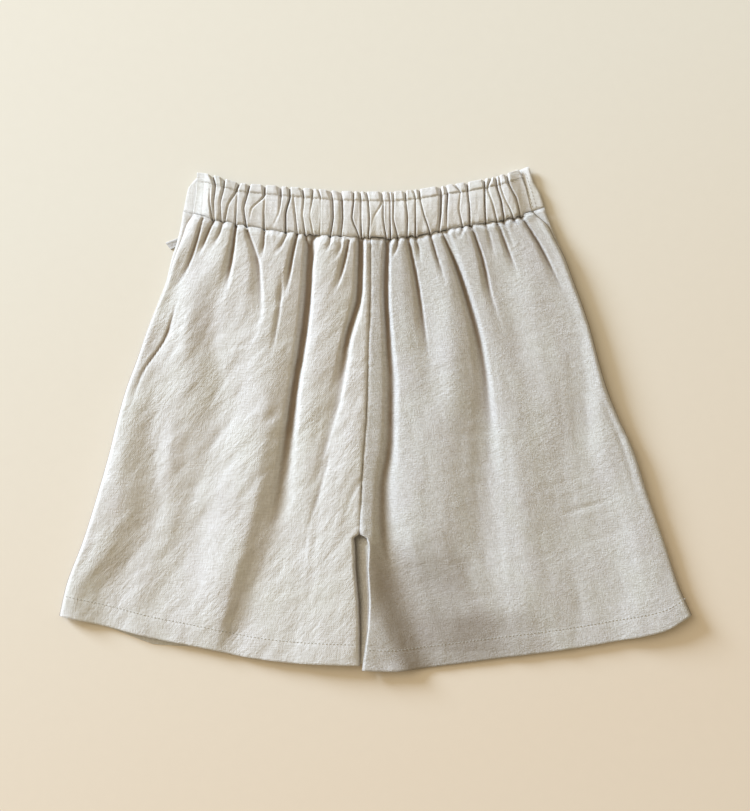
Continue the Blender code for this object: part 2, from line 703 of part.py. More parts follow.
def build_tie():
    """The drawstring: a flat strip on the surface, with its free end out past the side."""
    path_x = column(TIE_PATH, 0)
    path_y = column(TIE_PATH, 1)
    x = np.concatenate([np.linspace(a, b, 4)[:-1] for a, b in zip(path_x, path_x[1:])])
    x = np.append(x, path_x[-1])
    y = smooth(path_x, path_y, x)
    along = np.gradient(y, x)
    length = np.sqrt(1.0 + along ** 2)
    rows = []
    for across, height in ((-0.5, 0.75), (-0.36, 1.0), (0.0, 1.0), (0.36, 1.0), (0.5, 0.75)):
        move = -across * TIE_WIDTH
        cut = 0.35 * move * (1.0 - np.clip((x - x[0]) / 12.0, 0.0, 1.0))
        rows.append((list(np.linspace(0.0, 1.0, len(x))), x - move * along / length - cut,
                     y + move / length, TIE_HEIGHT * height + 0.0 * x, 0.0 * x))
    return wall("tie", rows)


def main():
    for thing in list(bpy.data.objects):
        bpy.data.objects.remove(thing, do_unlink=True)
    build_front("left")
    build_front("right")
    build_back("left")
    build_back("right")
    build_band_front()
    build_band_back()
    build_tie()


main()
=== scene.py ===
import math

import bpy
import numpy as np
from bpy.props import FloatProperty, FloatVectorProperty, IntProperty, PointerProperty
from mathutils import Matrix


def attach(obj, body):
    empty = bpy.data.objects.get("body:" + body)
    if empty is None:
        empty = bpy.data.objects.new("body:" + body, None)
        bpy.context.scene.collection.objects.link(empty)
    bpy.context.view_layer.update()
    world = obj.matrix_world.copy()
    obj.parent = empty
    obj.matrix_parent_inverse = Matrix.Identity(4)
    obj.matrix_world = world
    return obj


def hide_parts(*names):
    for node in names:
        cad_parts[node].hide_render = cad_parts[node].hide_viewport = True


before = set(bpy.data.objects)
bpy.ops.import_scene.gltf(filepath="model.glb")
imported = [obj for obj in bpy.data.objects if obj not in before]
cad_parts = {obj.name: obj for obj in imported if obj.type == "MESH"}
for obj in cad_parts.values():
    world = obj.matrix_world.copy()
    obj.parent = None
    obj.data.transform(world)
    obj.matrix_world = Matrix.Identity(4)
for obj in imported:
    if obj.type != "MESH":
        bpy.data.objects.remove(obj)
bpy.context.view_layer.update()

bl_info = {
    "name": "Linen shorts laid flat",
    "version": (1, 0, 0),
    "blender": (4, 5, 0),
    "location": "3D View > Sidebar > Shorts",
    "description": "Gathered linen shorts lying on their front, with their studio",
    "category": "Object",
}

MM = 0.001
MIDDLE = (-0.729, 0.264)  # mm, from the tables' middle to the frame's
GAP = 0.3                 # mm between pieces at a seam, as in the solids
LAYER_GAP = 0.5           # mm between a back and the front beneath it
CLOTH_SOLID = 1.5         # mm, wall of the solids that the cloth follows
HEM_DEPTH = 21.0          # mm that a hem is turned up
CROTCH_Y = -109.0         # mm, where the legs part
TIE_WIDTH = 7.0           # mm, width of the drawstring
TIE_TOP = 0.85            # mm, height of its upper face
TIE_ROOM = 1.8            # mm that the cloth above it is lifted
STITCH = 3.4              # mm from one stitch to the next
STITCH_LIFT = 0.05        # mm that thread lies above the cloth

# Where each panel starts at the waist, on its outer side: x, y
BACK_CORNER = {"left": (-173.0, 194.0), "right": (147.0, 196.0)}
FRONT_CORNER = {"left": (-182.6, 196.6), "right": (159.7, 199.9)}

# How the cloth rolls and curls, in millimetres
WAIST_FALL, WAIST_REACH = 3.4, 7.0            # a back's fall into the waist seam
RIM_LIFT = {"left": 2.1, "right": 1.6}        # a back's side edge above the cloth beneath
SIDE_ROLL = 5.0                               # radius of a back's side edge
INNER_ROLL = {"left": 3.5, "right": 2.0}      # radius of a back's inner edge, below the crotch
SEAM_GROOVE = {"left": 0.9, "right": 1.7}     # depth of the centre seam
SIDE_CURL = 24.0                              # width of the front's curl at its side
LEG_LIFT, LEG_REACH = 7.5, 14.0               # the left front's lift between the legs
HEM_SHOWN, SHOWN_X, SHOWN_REACH = 7.6, -212.0, 60.0   # the front's edge beneath the left hem
DIP_SHARE, DIP_WIDTH = 0.55, 3.4              # dips of the waist seam at the gathers

# Edges of the panels, in millimetres
SIDES = [
    # y, left outline, left seam, right seam, right outline
    (212, -179.5, -173, 147, 156.5),
    (196.5, -182.5, -173, 149, 160),
    (183.5, -184.5, -179.5, 162, 165),
    (169, -188, -184.5, 169.5, 171),
    (153, -193, -191, 178, 178.5),
    (128, -199.5, -198.5, 187.5, 187.5),
    (112, -206, -205.5, 193.5, 193.5),
    (84.5, -216.5, -216.5, 202.5, 202.5),
    (56, -226.5, -226.5, 210, 210),
    (27.5, -237, -237, 218.5, 218.5),
    (-1, -245, -245, 230, 230),
    (-29.5, -252, -252, 243, 243),
    (-72, -264, -264, 256.5, 256.5),
    (-115, -277.5, -277.5, 271.5, 271.5),
    (-157.5, -293.5, -293.5, 286, 286),
    (-186, -300, -300, 299, 299),
]

WAIST = [
    # x, heading edge, waist seam
    (-182.5, 233, 197),
    (-169, 233, 192.5),
    (-152, 230, 187.5),
    (-129, 223, 183),
    (-105.5, 221, 178.5),
    (-66.5, 218, 174),
    (-27.5, 215, 171.5),
    (10.5, 214.5, 171),
    (37, 216.5, 173),
    (61, 220, 177.5),
    (89.5, 224, 182.5),
    (122.5, 231.5, 188.5),
    (136, 236, 192),
    (147, 239, 196.5),
    (159.5, 239, 200.5),
]

LEFT_HEM = [
    # x, y
    (-300, -186),
    (-254.5, -196.5),
    (-209, -208),
    (-163.5, -216.5),
    (-118, -226),
    (-72, -231),
    (-15, -233),
]

RIGHT_HEM = [
    # x, y
    (-13.5, -237.5),
    (13.5, -238.5),
    (64.5, -233.5),
    (121.5, -226),
    (178.5, -218.5),
    (224, -211),
    (270, -201.5),
    (299, -185),
]

INNER = [
    # y, left back, right back, line that the cloth behind both follows
    (171.5, -5.5, -5.5, -5.5),
    (122.5, -5.5, -5.5, -5.5),
    (56, -7.5, -7.5, -7.5),
    (-1, -9.5, -9.5, -9.5),
    (-58, -14, -14, -13),
    (-98, -15, -15, -14.5),
    (-109, -15.5, -15.5, -14.5),
    (-112, -20.5, -9.5, -14.5),
    (-119.5, -19.5, -7, -14.5),
    (-140, -19, -8.5, -14.0),
    (-172, -16, -6.5, -13.5),
    (-198.5, -15, -8, -13.5),
    (-240, -15, -13.5, -14.2),
]

FRONT_INNER = [
    # y, x
    (171.5, -6),
    (-100, -7),
    (-112, -5.5),
    (-140, -4.5),
    (-172, -3),
    (-198, -5),
    (-240, -10),
]

FRONT_BAND_TOP = [
    # x, y: its upper edge, seen at the ends and hidden behind the heading between them
    (-178, 219),
    (-172, 226),
    (-167, 230),
    (-152, 214),
    (-66, 207),
    (-2, 204),
    (66, 210),
    (110, 222),
    (135, 235),
    (145, 239),
]

BAND_ENDS = [
    # share up, left x, left y, right x, right y: the two seams that end the back waistband
    (0.0, -173, 194.6, 147, 196.9),
    (0.5, -170, 213, 141.5, 219),
    (1.0, -169, 233, 135, 236),
]

# Levels down a leg, from the waist to the hem
LEVELS = (185, 161, 123, 75, 28, -20, -67, -115, -162, -200, -230)

# Broad ridges and hollows of the backs, in the order of x
LEFT_FORM = [
    # ridge or hollow, its x at each level, its height at each level
    ("side edge", None,
     (8.5, 10, 8, 8.5, 9.5, 10.5, 11, 10.5, 9.5, 8, 6.4)),
    ("outer crest", (-170, -176, -192, -205, -223, -236.5, -242, -254.5, -283, -288, -291.5),
     (12.5, 10, 7, 7.5, 9.5, 12.5, 14, 11.5, 10.5, 8.2, 6.4)),
    ("outer hollow", (-162.5, -164.5, -175, -189, -208, -212, -207, -218.5, -255.5, -259.5, -262),
     (12.8, 9.5, 11, 10, 9, 8, 7, 5.5, 4.5, 4.6, 4.5)),
    ("upper crest", (-140.5, -143.5, -166, -179.5, -180.5, -191, -194, -200.5, -223, -227, -231),
     (13, 12.4, 12.2, 12.4, 11.6, 10.5, 8.2, 6.6, 5.5, 6.1, 6)),
    ("grey hollow", (-135, -133, -149, -154, -146.5, -154, -172, -182.5, -195, -199.5, -203.5),
     (13.4, 12.6, 11.2, 8.8, 7.7, 8, 6, 5.2, 5, 5.9, 6)),
    ("low ridge", (-129, -127.5, -140.5, -142.5, -137, -144.5, -161.5, -171, -184.5, -190, -194),
     (13.6, 13.2, 12.2, 10.4, 8.8, 8.6, 7.6, 6.2, 6, 6.3, 6.2)),
    ("main crest", (-95, -92, -94, -100.5, -104.5, -110, -114, -126.5, -138.5, -148, -156),
     (14, 14, 14, 14, 14, 14, 14, 13.5, 12, 8.8, 6.2)),
    ("valley shoulder", (-65.5, -69.5, -72.5, -77.5, -84.5, -92, -100, -110, -125.5, -138, -148),
     (13.6, 12.4, 11.4, 11, 10.4, 9.8, 9, 8, 7, 6.3, 5.8)),
    ("deep valley", (-55, -62, -64, -69, -77, -83.5, -90, -98, -117, -130, -140.5),
     (9, 4.6, 3.8, 3.5, 3.5, 3.6, 4.2, 5, 5.4, 5.3, 5.2)),
    ("valley wall", (-50, -55.5, -58, -62.5, -69.5, -73, -76, -77, -99, -113, -123.5),
     (13.6, 13, 12.6, 11.9, 11.2, 10, 8.6, 7.4, 6.6, 6.5, 6.4)),
    ("inner crest", (-41, -46.5, -49.5, -54, -60, -62.5, -64.5, -64.5, -69.5, -74, -78),
     (14.2, 14.2, 14, 13.2, 12.4, 11.2, 10, 9.2, 9.2, 9.1, 9)),
    ("hollow shoulder", (-22, -21, -23, -34, -44.5, -55, -62, -63.5, -67.5, -70.5, -73),
     (13, 12, 11, 11, 11, 10.8, 10, 9.4, 9.4, 9.5, 9.6)),
    ("inner hollow", (-14, -14, -15, -27.5, -36, -47.5, -55, -59, -62.5, -65.5, -68.5),
     (9, 5, 4.2, 6.2, 8.8, 9.8, 9.8, 9.4, 9.6, 9.8, 10)),
    ("hollow wall", (-10.5, -9.5, -10.5, -20, -27.5, -38, -46.5, -51.5, -56, -57, -57),
     (11.6, 11.4, 11.2, 11.8, 12, 11.6, 11, 10.6, 10.6, 10.6, 10.6)),
    ("seam ridge", (-8.5, -7.5, -7.5, -11.5, -15, -18, -23, -25.5, -26.5, -24, -21),
     (10.4, 10.8, 11, 11.8, 12.8, 13.4, 12.6, 12.6, 12.2, 11.4, 11)),
    ("inner edge", None,
     (10.6, 10.4, 10.6, 11, 12.2, 12.6, 13, 12.6, 11.8, 10.8, 10.4)),
]

RIGHT_FORM = [
    # ridge or hollow, its x at each level, its height at each level
    ("inner edge", None,
     (10.4, 10.2, 10.4, 11, 11.4, 12, 12.6, 15, 16.5, 15, 11)),
    ("seam shoulder", (6.5, 5, 3.5, 4.5, 5.5, 4, -3, -5, -4, 5, 21),
     (10.2, 9.6, 9.2, 9.2, 9.4, 9.6, 10.8, 13.4, 14.8, 13.8, 10)),
    ("seam hollow", (12, 10.5, 10, 12, 14, 13.5, 7, 9.5, 25.5, 40, 55),
     (9, 5, 4, 4.4, 4.6, 4.6, 4.6, 4.4, 4, 3.8, 3.2)),
    ("hollow wall", (15, 14.5, 14, 18, 23, 22, 20, 25.5, 47.5, 66.5, 77),
     (12, 12, 12, 11.6, 11, 10, 9.6, 8.4, 5, 5.2, 3.4)),
    ("inner crest", (21, 23, 24, 27.5, 32.5, 33, 31.5, 35, 66.5, 83.5, 89.5),
     (11.8, 12, 12.2, 11.8, 11.6, 11.6, 12, 11.8, 7.4, 6, 3.5)),
    ("short hollow", (30.5, 33, 40, 48.5, 51.5, 46.5, 43.5, 43.5, 79, 96, 100.5),
     (10, 9.5, 9.4, 9.6, 11, 12.8, 13, 12.4, 8.6, 6.2, 3.6)),
    ("first crest", (54, 62, 68.5, 70.5, 72, 63.5, 61, 59, 87.5, 103.5, 111),
     (11.5, 12, 12.8, 13.8, 13, 12.4, 12.4, 12, 8.4, 6, 3.6)),
    ("long shoulder", (59, 65.5, 76, 86.5, 90, 86.5, 81.5, 79, 93, 107.5, 119),
     (12, 11.6, 11, 10.4, 9.8, 9, 9.6, 8.6, 8, 5.8, 3.6)),
    ("long hollow", (63.5, 72, 84, 97, 103.5, 105.5, 104.5, 104.5, 105.5, 114, 124.5),
     (11, 9.4, 7.4, 5.6, 5, 4.8, 5.4, 4.8, 7.4, 5.6, 3.6)),
    ("long wall", (67.5, 77, 90, 103.5, 112, 119, 124.5, 129, 129, 129, 132),
     (12.6, 12.2, 11.8, 11.4, 11.4, 9.8, 8.8, 8.4, 9.2, 7, 4)),
    ("main crest", (83.5, 88.5, 100, 112, 120.5, 130, 137, 141.5, 142.5, 144.5, 144.5),
     (13, 12.6, 12.4, 12.2, 12.6, 12, 10.6, 9.8, 10.6, 7.8, 4.8)),
    ("grey slope", (106.5, 111, 120.5, 134, 147, 159.5, 169, 176.5, 181.5, 179.5, 176.5),
     (11.4, 11, 9.6, 9, 10.2, 9.4, 7.4, 5.6, 7.2, 6.6, 5.4)),
    ("outer crest", (137, 146.5, 149, 154, 163.5, 177.5, 186, 194, 195, 192, 190),
     (11.4, 12, 12.6, 11, 11, 7.8, 6.6, 5, 6.2, 6, 5.4)),
    ("outer hollow", (153, 163.5, 176, 190, 195.5, 195.5, 211, 222.5, 229, 228, 227),
     (11, 12, 11.4, 10.4, 8.4, 6.8, 6.6, 5, 5.6, 6, 5.6)),
    ("side crest", (157, 171, 187, 204, 213, 218.5, 233.5, 249, 258.5, 264, 268),
     (12, 13, 13.4, 13, 12.8, 11.6, 10.8, 10.6, 10.4, 10.2, 9.6)),
    ("side edge", None,
     (11.6, 12.4, 12.4, 12.4, 12.4, 12, 11.6, 11.2, 11, 10.8, 10.2)),
]

BAND_PUFF = [
    # share up the band, height between its gathers
    (0.00, 10.4),
    (0.12, 11.6),
    (0.40, 11.9),
    (0.70, 10.9),
    (0.79, 10.3),
    (0.84, 10.9),
    (1.00, 9.6),
]

RISE = [
    # y, how far the front curls up at the left and right side edges
    (240, 1.0, 2.4),
    (150, 1.2, 4.6),
    (50, 1.2, 6.2),
    (-80, 1.2, 6.6),
    (-186, 1.0, 5.0),
    (-240, 1.0, 5.0),
]

GATHERS = [
    # x at heading edge, at its stitch, half way down, at waist seam, depth in the heading, at
    # the stitch, half way, at the seam, width, skew
    (-162, -162.5, -163.5, -164.5, 0.5, 0.8, 0.8, 0.6, 6, 0.5),
    (-154.5, -151.5, -153, -152.5, 5, 3, 2.4, 2, 7, 0.72),
    (-155, -156, -157, -154, 0, 0, 1.6, 3.6, 5, 0.7),
    (-143, -143.5, -146.5, -146, 5, 3, 2.4, 2.4, 7, 0.74),
    (-129, -132, -139, -143, 5, 2.6, 1.4, 2.4, 5.5, 0.62),
    (-129, -130.5, -131.5, -132.5, 1, 1.5, 1.6, 3.6, 5, 0.7),
    (-119, -121, -124.5, -122, 5, 3.4, 2.4, 4.2, 6, 0.72),
    (-105, -105, -117, -120.5, 4.6, 2.6, 0.6, 0, 6, 0.62),
    (-104.5, -104.5, -105.5, -105.5, 0.5, 0.3, 1.6, 3.6, 4.5, 0.62),
    (-90, -89.5, -91, -99, 4.8, 3.2, 0.8, 0, 7, 0.7),
    (-81.5, -81, -85, -85, 4.6, 4.6, 4.6, 4.8, 5, 0.66),
    (-76, -77.5, -76, -74, 0, 1.2, 2.2, 2.8, 6, 0.66),
    (-69.5, -68, -69, -66.5, 4.8, 2.4, 1, 4, 5.5, 0.66),
    (-59.5, -60, -62, -59, 2.8, 2, 0.4, 1.6, 4, 0.6),
    (-54.5, -52, -52, -53, 2.8, 0.5, 0, 1.4, 4, 0.6),
    (-42.5, -40.5, -40, -43, 3.4, 3.6, 4.4, 3.6, 7, 0.8),
    (-33, -31.5, -31, -33, 4, 4.2, 3.8, 3, 8, 0.8),
    (-21, -21, -22.5, -15.5, 3.6, 3, 2.6, 3.6, 4, 0.6),
    (-15, -14, -14, -13.5, 3.2, 2.2, 1.6, 3.8, 4.5, 0.62),
    (-9, -7, -6, -7, 3.2, 2.6, 2.6, 3.6, 4.5, 0.66),
    (5.5, 6, -2, -6, 3, 1.5, 0.4, 0, 6, 0.6),
    (5.5, 7, 7, 10, 1.5, 2.4, 2.2, 3.8, 4.5, 0.64),
    (12.5, 13.5, 13.5, 14, 2.4, 1.6, 2.2, 4.6, 4, 0.62),
    (16.5, 17, 16.5, 21, 3, 2.2, 2, 3.6, 5, 0.66),
    (28, 28.5, 30, 29.5, 4.8, 1.8, 3, 3.2, 5.5, 0.72),
    (35.5, 37.5, 37.5, 37.5, 3, 1.6, 2.4, 4, 4, 0.6),
    (41, 42, 45.5, 51.5, 3.4, 1.8, 2.4, 3.6, 4.5, 0.62),
    (61, 62, 61.5, 59.5, 5, 4.6, 4.6, 3.2, 8, 0.72),
    (66, 68, 67, 67, 3.2, 4, 3.4, 1.2, 6, 0.74),
    (74.5, 80, 78.5, 82, 3.2, 0.8, 1.2, 3.2, 5, 0.62),
    (86.5, 87, 88.5, 89, 4.8, 2.2, 3.6, 3.6, 5, 0.7),
    (102.5, 103, 103, 104, 4.6, 3.6, 4, 3.6, 4.5, 0.66),
    (109, 105.5, 110, 114.5, 3, 2.6, 1.4, 3.2, 5.5, 0.6),
    (113.5, 114.5, 118.5, 121.5, 4, 4, 4.4, 4, 5.5, 0.72),
    (116.5, 117.5, 122.5, 130, 2.4, 1.6, 1.2, 3, 4.5, 0.6),
    (124, 125.5, 132.5, 137, 5, 3.8, 4.8, 5, 6, 0.72),
]

LEFT_FOLDS = [
    # name, y top, y end, x at top, x 1/3, x 2/3, x at end, depth, top share, end share,
    # width top, width end, skew, crisp
    ("side crevice", 190, 116, -163, -170, -179.5, -196.5, 3.2, 0.7, 0, 5, 9, 0.72, 0.65),
    ("side fold", 113, 6.5, -188, -199, -221.5, -233, 2.6, 0.2, 0.1, 5.5, 6, 0.6, 0.8),
    ("gather 1", 187, 149, -153, -159, -164.5, -171, 2.8, 0.9, 0, 6, 12, 0.7, 0.6),
    ("gather 2", 186, 158.5, -144, -147, -151.5, -157, 2.2, 0.9, 0, 6, 9, 0.65, 0.5),
    ("gather 3", 182.5, 108.5, -131.5, -135, -139.5, -148, 5, 0.8, 0, 6, 20, 0.75, 0.6),
    ("gather 4", 178.5, 67.5, -121, -110.5, -109.5, -120.5, 3.4, 0.8, 0.1, 6, 30, 0.75, 0.25),
    ("gather 5", 177.5, 148, -105, -105.5, -107, -109, 2.6, 1, 0, 4.5, 10, 0.7, 0.6),
    ("gather 6", 174, 152, -84.5, -87.5, -92, -100.5, 2, 0.9, 0, 5, 10, 0.7, 0.6),
    ("gather 7", 175, 111, -74, -78.5, -82.5, -87.5, 4.2, 0.9, 0.1, 6, 14, 0.72, 0.65),
    ("crest crease", 149, 41, -88, -90, -95.5, -103, 1.8, 0, 0, 9, 7, 0.7, 0.5),
    ("gather 8", 174, 159.5, -66, -65.5, -64, -62, 2.6, 1, 0, 5, 8, 0.6, 0.6),
    ("deep valley", 174, 67.5, -53, -61.5, -62.5, -69, 2, 0.9, 0.2, 6, 11, 0.62, 0.5),
    ("gather 9", 172, 154, -43, -43.5, -46.5, -53, 2, 0.9, 0, 5, 9, 0.7, 0.5),
    ("gather 10", 171, 148, -32.5, -33, -36, -41, 1.8, 0.9, 0, 5, 10, 0.7, 0.5),
    ("gather 11", 169, 112, -25, -29, -34.5, -44.5, 3.8, 0.9, 0, 6, 12, 0.75, 0.6),
    ("seam gather", 171, 67.5, -14, -14, -15.5, -28.5, 2.4, 0.9, 0.2, 6, 10, 0.62, 0.6),
    ("inner fold", 73, -74, -24.5, -33, -46.5, -61, 1, 0.4, 0, 9, 10, 0.65, 0.4),
    ("thin crease", 1, -174, -34, -50.5, -66, -71, 0.8, 0, 0, 6, 7, 0.55, 0.6),
    ("inner crease", -56, -111, -12.5, -23, -29.5, -34, 1, 0.9, 0, 10, 10, 0.75, 0.4),
]

RIGHT_FOLDS = [
    # name, y top, y end, x at top, x 1/3, x 2/3, x at end, depth, top share, end share,
    # width top, width end, skew, crisp
    ("seam pleat", 171, 160.5, 10, 10.5, 11, 11.5, 2.5, 1, 0, 4, 4, 0.6, 0.6),
    ("seam fold", 170, 67.5, 13.5, 11, 11, 13.5, 2.2, 0.8, 0.2, 6, 9, 0.62, 0.6),
    ("gather 12", 171, 148, 21, 20, 17.5, 13.5, 2.2, 1, 0, 5, 8, 0.7, 0.5),
    ("gather 13", 173, 43, 30.5, 39.5, 45.5, 50.5, 3.8, 0.8, 0, 6, 16, 0.75, 0.55),
    ("gather 14", 173, 144.5, 38, 40, 41.5, 42, 2.2, 0.9, 0, 5, 8, 0.7, 0.5),
    ("gather 15", 175, 121.5, 51.5, 56.5, 62, 67.5, 3.2, 0.8, 0, 5, 9, 0.72, 0.65),
    ("long valley", 177.5, 67.5, 62, 78, 90, 99, 3.4, 0.8, 0.1, 6, 14, 0.7, 0.45),
    ("hair crease", 178.5, 158.5, 69.5, 75, 81, 86.5, 0.8, 0.5, 0, 3, 3, 0.5, 0.8),
    ("gather 16", 180.5, 169, 82, 81, 79.5, 78, 1.6, 1, 0, 5, 5, 0.6, 0.5),
    ("gather 17", 182.5, 82.5, 90.5, 101.5, 108.5, 119.5, 4, 0.8, 0, 6, 16, 0.75, 0.5),
    ("gather 18", 183.5, 148, 104.5, 107.5, 110.5, 113, 1.5, 0.9, 0, 5, 9, 0.7, 0.4),
    ("gather 19", 185, 128, 115.5, 122.5, 129.5, 136, 3.2, 0.8, 0, 6, 12, 0.75, 0.5),
    ("gather 20", 187, 155, 120, 124.5, 128.5, 133, 1.4, 0.9, 0, 5, 9, 0.65, 0.5),
    ("gather 21", 190, 181.5, 130, 131.5, 133, 135, 2, 1, 0, 4, 4, 0.6, 0.5),
    ("side valley", 192, 111, 137.5, 154.5, 168, 179.5, 4.2, 0.8, 0, 5, 16, 0.75, 0.6),
    ("side crease", 32.5, -115, 206, 229, 245, 263, 1.1, 0.2, 0, 9, 12, 0.5, 0.6),
]

# Painted shade where a back hangs down towards its hem, in the columns of the folds
PAINTED_SHADES = {
    "left": [
        ("upper shade", 150, 20, -164, -166, -170, -176, 0.16, 0.3, 0.3, 34, 40, 0.5, 0),
        ("inner shade", -150, -236, -142, -143, -150, -158, 0.10, 0.2, 1, 16, 24, 0.5, 0),
    ],
    "right": [
        ("inner shade", -118, -240, 0, 8, 19, 36, 0.60, 0.4, 0.85, 44, 68, 0.4, 0),
        ("lower shade", -105, -220, 46, 52, 60, 74, 0.48, 0.2, 0.4, 96, 130, 0.4, 0),
        ("hem shade", -172, -240, 92, 92, 92, 92, 0.46, 0, 1, 190, 210, 0.5, 0),
    ],
}

TIE_PATH = [
    # x, y along the middle of the drawstring, from its free end to the centre front
    (-197, 164),
    (-188, 167.7),
    (-177, 172),
    (-160, 178),
    (-129, 184),
    (-72, 184),
    (-20, 178),
]

# Short creases that run across a leg: start x, y, end x, y, depth, width
CROSS_CREASES = [
    (170, -92, 224, -76, 0.9, 9),
    (186, -69, 206, -64, 0.5, 7),
    (60, -140, 110, -128, 0.4, 9),
    (-120, -60, -84, -38, 0.4, 8),
    (-236, -150, -200, -128, 0.4, 8),
]

# Crumpling of each back: angle of its creases, length, width, height, seed
CRUMPLES = {
    "left": [
        (52, 30, 9, 0.38, 11),
        (61, 14, 5, 0.20, 12),
        (20, 26, 9, 0.18, 13),
        (78, 70, 17, 0.60, 14),
    ],
    "right": [
        (-72, 44, 10, 0.26, 21),
        (-84, 18, 5.5, 0.14, 22),
        (12, 30, 8, 0.16, 23),
        (-78, 80, 18, 0.55, 24),
    ],
}

# Linen of each part: angle of its crinkles, their height, shade, strength of the slubs
# Shade is painted light and shade on one linen: lighter left leg and band, darker right leg and tie
FINISHES = {
    "left": (50, 1.0, 1.03, 0.9),
    "right": (24, 0.9, 0.97, 1.6),
    "band": (80, 0.5, 1.07, 0.85),
    "tie": (0, 0.3, 0.80, 1.0),
}

HEMS = {"left": LEFT_HEM, "right": RIGHT_HEM}
FORMS = {"left": LEFT_FORM, "right": RIGHT_FORM}
FOLDS = {"left": LEFT_FOLDS, "right": RIGHT_FOLDS}


# Tables and curves

def column(table, index):
    return np.array([row[index] for row in table], float)


def through(xs, ys, x):
    """Read a curve that passes through its points (first axis) and never overshoots them."""
    step = np.maximum(np.diff(xs, axis=0), 0.01)
    slope = np.diff(ys, axis=0) / step
    same = slope[:-1] * slope[1:] > 0
    total = np.where(same, slope[:-1] + slope[1:], 1.0)
    tangent = np.concatenate([slope[:1], np.where(same, 2.0 * slope[:-1] * slope[1:] / total, 0.0),
                              slope[-1:]])
    i = sum((x >= line).astype(int) for line in xs[1:-1])[None]

    def pick(values, after=0):
        return np.take_along_axis(values, i + after, 0)[0]

    run = pick(step)
    t = np.clip((x - pick(xs)) / run, 0.0, 1.0)
    rise = t * t * (3.0 - 2.0 * t)
    return (pick(ys) * (1.0 - rise) + pick(ys, 1) * rise
            + run * t * (1.0 - t) * (pick(tangent) * (1.0 - t) - pick(tangent, 1) * t))


def smooth(xs, ys, x):
    """Read a table along a smooth curve."""
    x = np.asarray(x, float)
    order = np.argsort(xs)
    shape = (len(order),) + x.shape
    one = (-1,) + (1,) * x.ndim
    xs, ys = (np.broadcast_to(np.asarray(values, float)[order].reshape(one), shape)
              for values in (xs, ys))
    return through(xs, ys, x)


def read(table, index, x):
    """Read a column of a table along a smooth curve, by the table's first column."""
    return smooth(column(table, 0), column(table, index), x)


def read_down(table, index, y):
    """Read a column straight from point to point, in a table whose first column falls."""
    return np.interp(-y, -column(table, 0), column(table, index))


def ease(t):
    t = np.clip(t, 0.0, 1.0)
    return t * t * (3.0 - 2.0 * t)


def fade(offset, reach):
    """1 up to a line, 0 from its reach on, and straight between."""
    return np.clip(1.0 - offset / reach, 0.0, 1.0)


def even(count):
    return np.linspace(0.0, 1.0, count)


def bump(offset, width):
    """1 at the middle of a line, 0 beyond its width on each side."""
    return ease(1.0 - np.abs(offset) / width)


def noise(x, y, seed):
    """Smooth random waves one unit apart, between -1 and 1."""
    grid = np.random.default_rng(seed).uniform(-1.0, 1.0, (97, 89))
    i = np.floor(x).astype(int)
    j = np.floor(y).astype(int)
    u = ease(x - i)
    v = ease(y - j)
    low = grid[i % 97, j % 89] * (1.0 - u) + grid[(i + 1) % 97, j % 89] * u
    high = grid[i % 97, (j + 1) % 89] * (1.0 - u) + grid[(i + 1) % 97, (j + 1) % 89] * u
    return low * (1.0 - v) + high * v


def crumple(side, x, y):
    """Small creases of a back, a layer for each row of its table: the fine ones are dents."""
    height = 0.0
    for angle, length, width, high, seed in CRUMPLES[side]:
        turn = math.radians(angle)
        along = x * math.cos(turn) + y * math.sin(turn)
        across = y * math.cos(turn) - x * math.sin(turn)
        across = across + 0.35 * width * noise(along / length, across / length, seed + 50)
        wave = noise(along / length, across / width, seed)
        height = height + high * (wave if high > 0.4 else wave - 0.6 * np.abs(wave))
    return height


# Edges

def outline_x(side, y):
    return read(SIDES, 1 if side == "left" else 4, y)


def seam_x(side, y):
    return read(SIDES, 2 if side == "left" else 3, y)


def inner_x(side, y):
    return read_down(INNER, 1 if side == "left" else 2, y)


def waist_y(x):
    return read(WAIST, 2, x)


def seam_y(x):
    """The waist seam, which dips where a gather of the waistband meets it."""
    dip = 0.0
    for row in GATHERS:
        dip = np.maximum(dip, DIP_SHARE * row[7] * bump(x - row[3], DIP_WIDTH))
    inside = ease((x - BAND_ENDS[0][1]) / 8.0) * ease((BAND_ENDS[0][3] - x) / 8.0)
    return waist_y(x) + inside * (0.8 - dip + 0.5 * noise(x / 4.4, 0.0 * x, 43))


def heading_y(x):
    return read(WAIST, 1, x)


def hem_y(side, x):
    return read(HEMS[side], 1, x)


def hem_corners(side):
    """Outer and inner end of a hem."""
    ends = HEMS[side][0], HEMS[side][-1]
    return ends if side == "left" else ends[::-1]


# Heights

def valley(offset, width, skew, crisp):
    """Depth of a fold, 1 at its path and 0 at its edges."""
    half = np.where(offset < 0.0, width * skew, width * (1.0 - skew))
    q = np.clip(np.abs(offset) / half, 0.0, 1.0)
    return crisp * (1.0 - q) ** 2 + (1.0 - crisp) * 0.5 * (1.0 + np.cos(np.pi * q))


def fold_depth(fold, x, y):
    """Depth that one row of a folds table takes from the cloth at each point."""
    (_, y_top, y_end, x_top, x_third, x_two, x_end, depth,
     top, end, width_top, width_end, skew, crisp) = fold
    t = (y_top - y) / (y_top - y_end)
    path = smooth((0.0, 1 / 3, 2 / 3, 1.0), (x_top, x_third, x_two, x_end), t)
    width = width_top + (width_end - width_top) * np.clip(t, 0.0, 1.0)
    deepest = 0.35
    share = np.where(t < deepest, top + (1.0 - top) * ease(t / deepest),
                     end + (1.0 - end) * (1.0 - ease((t - deepest) / (1.0 - deepest))))
    share = np.where((t < 0.0) | (t > 1.0), 0.0, share)
    return depth * share * valley(x - path, width, skew, crisp)


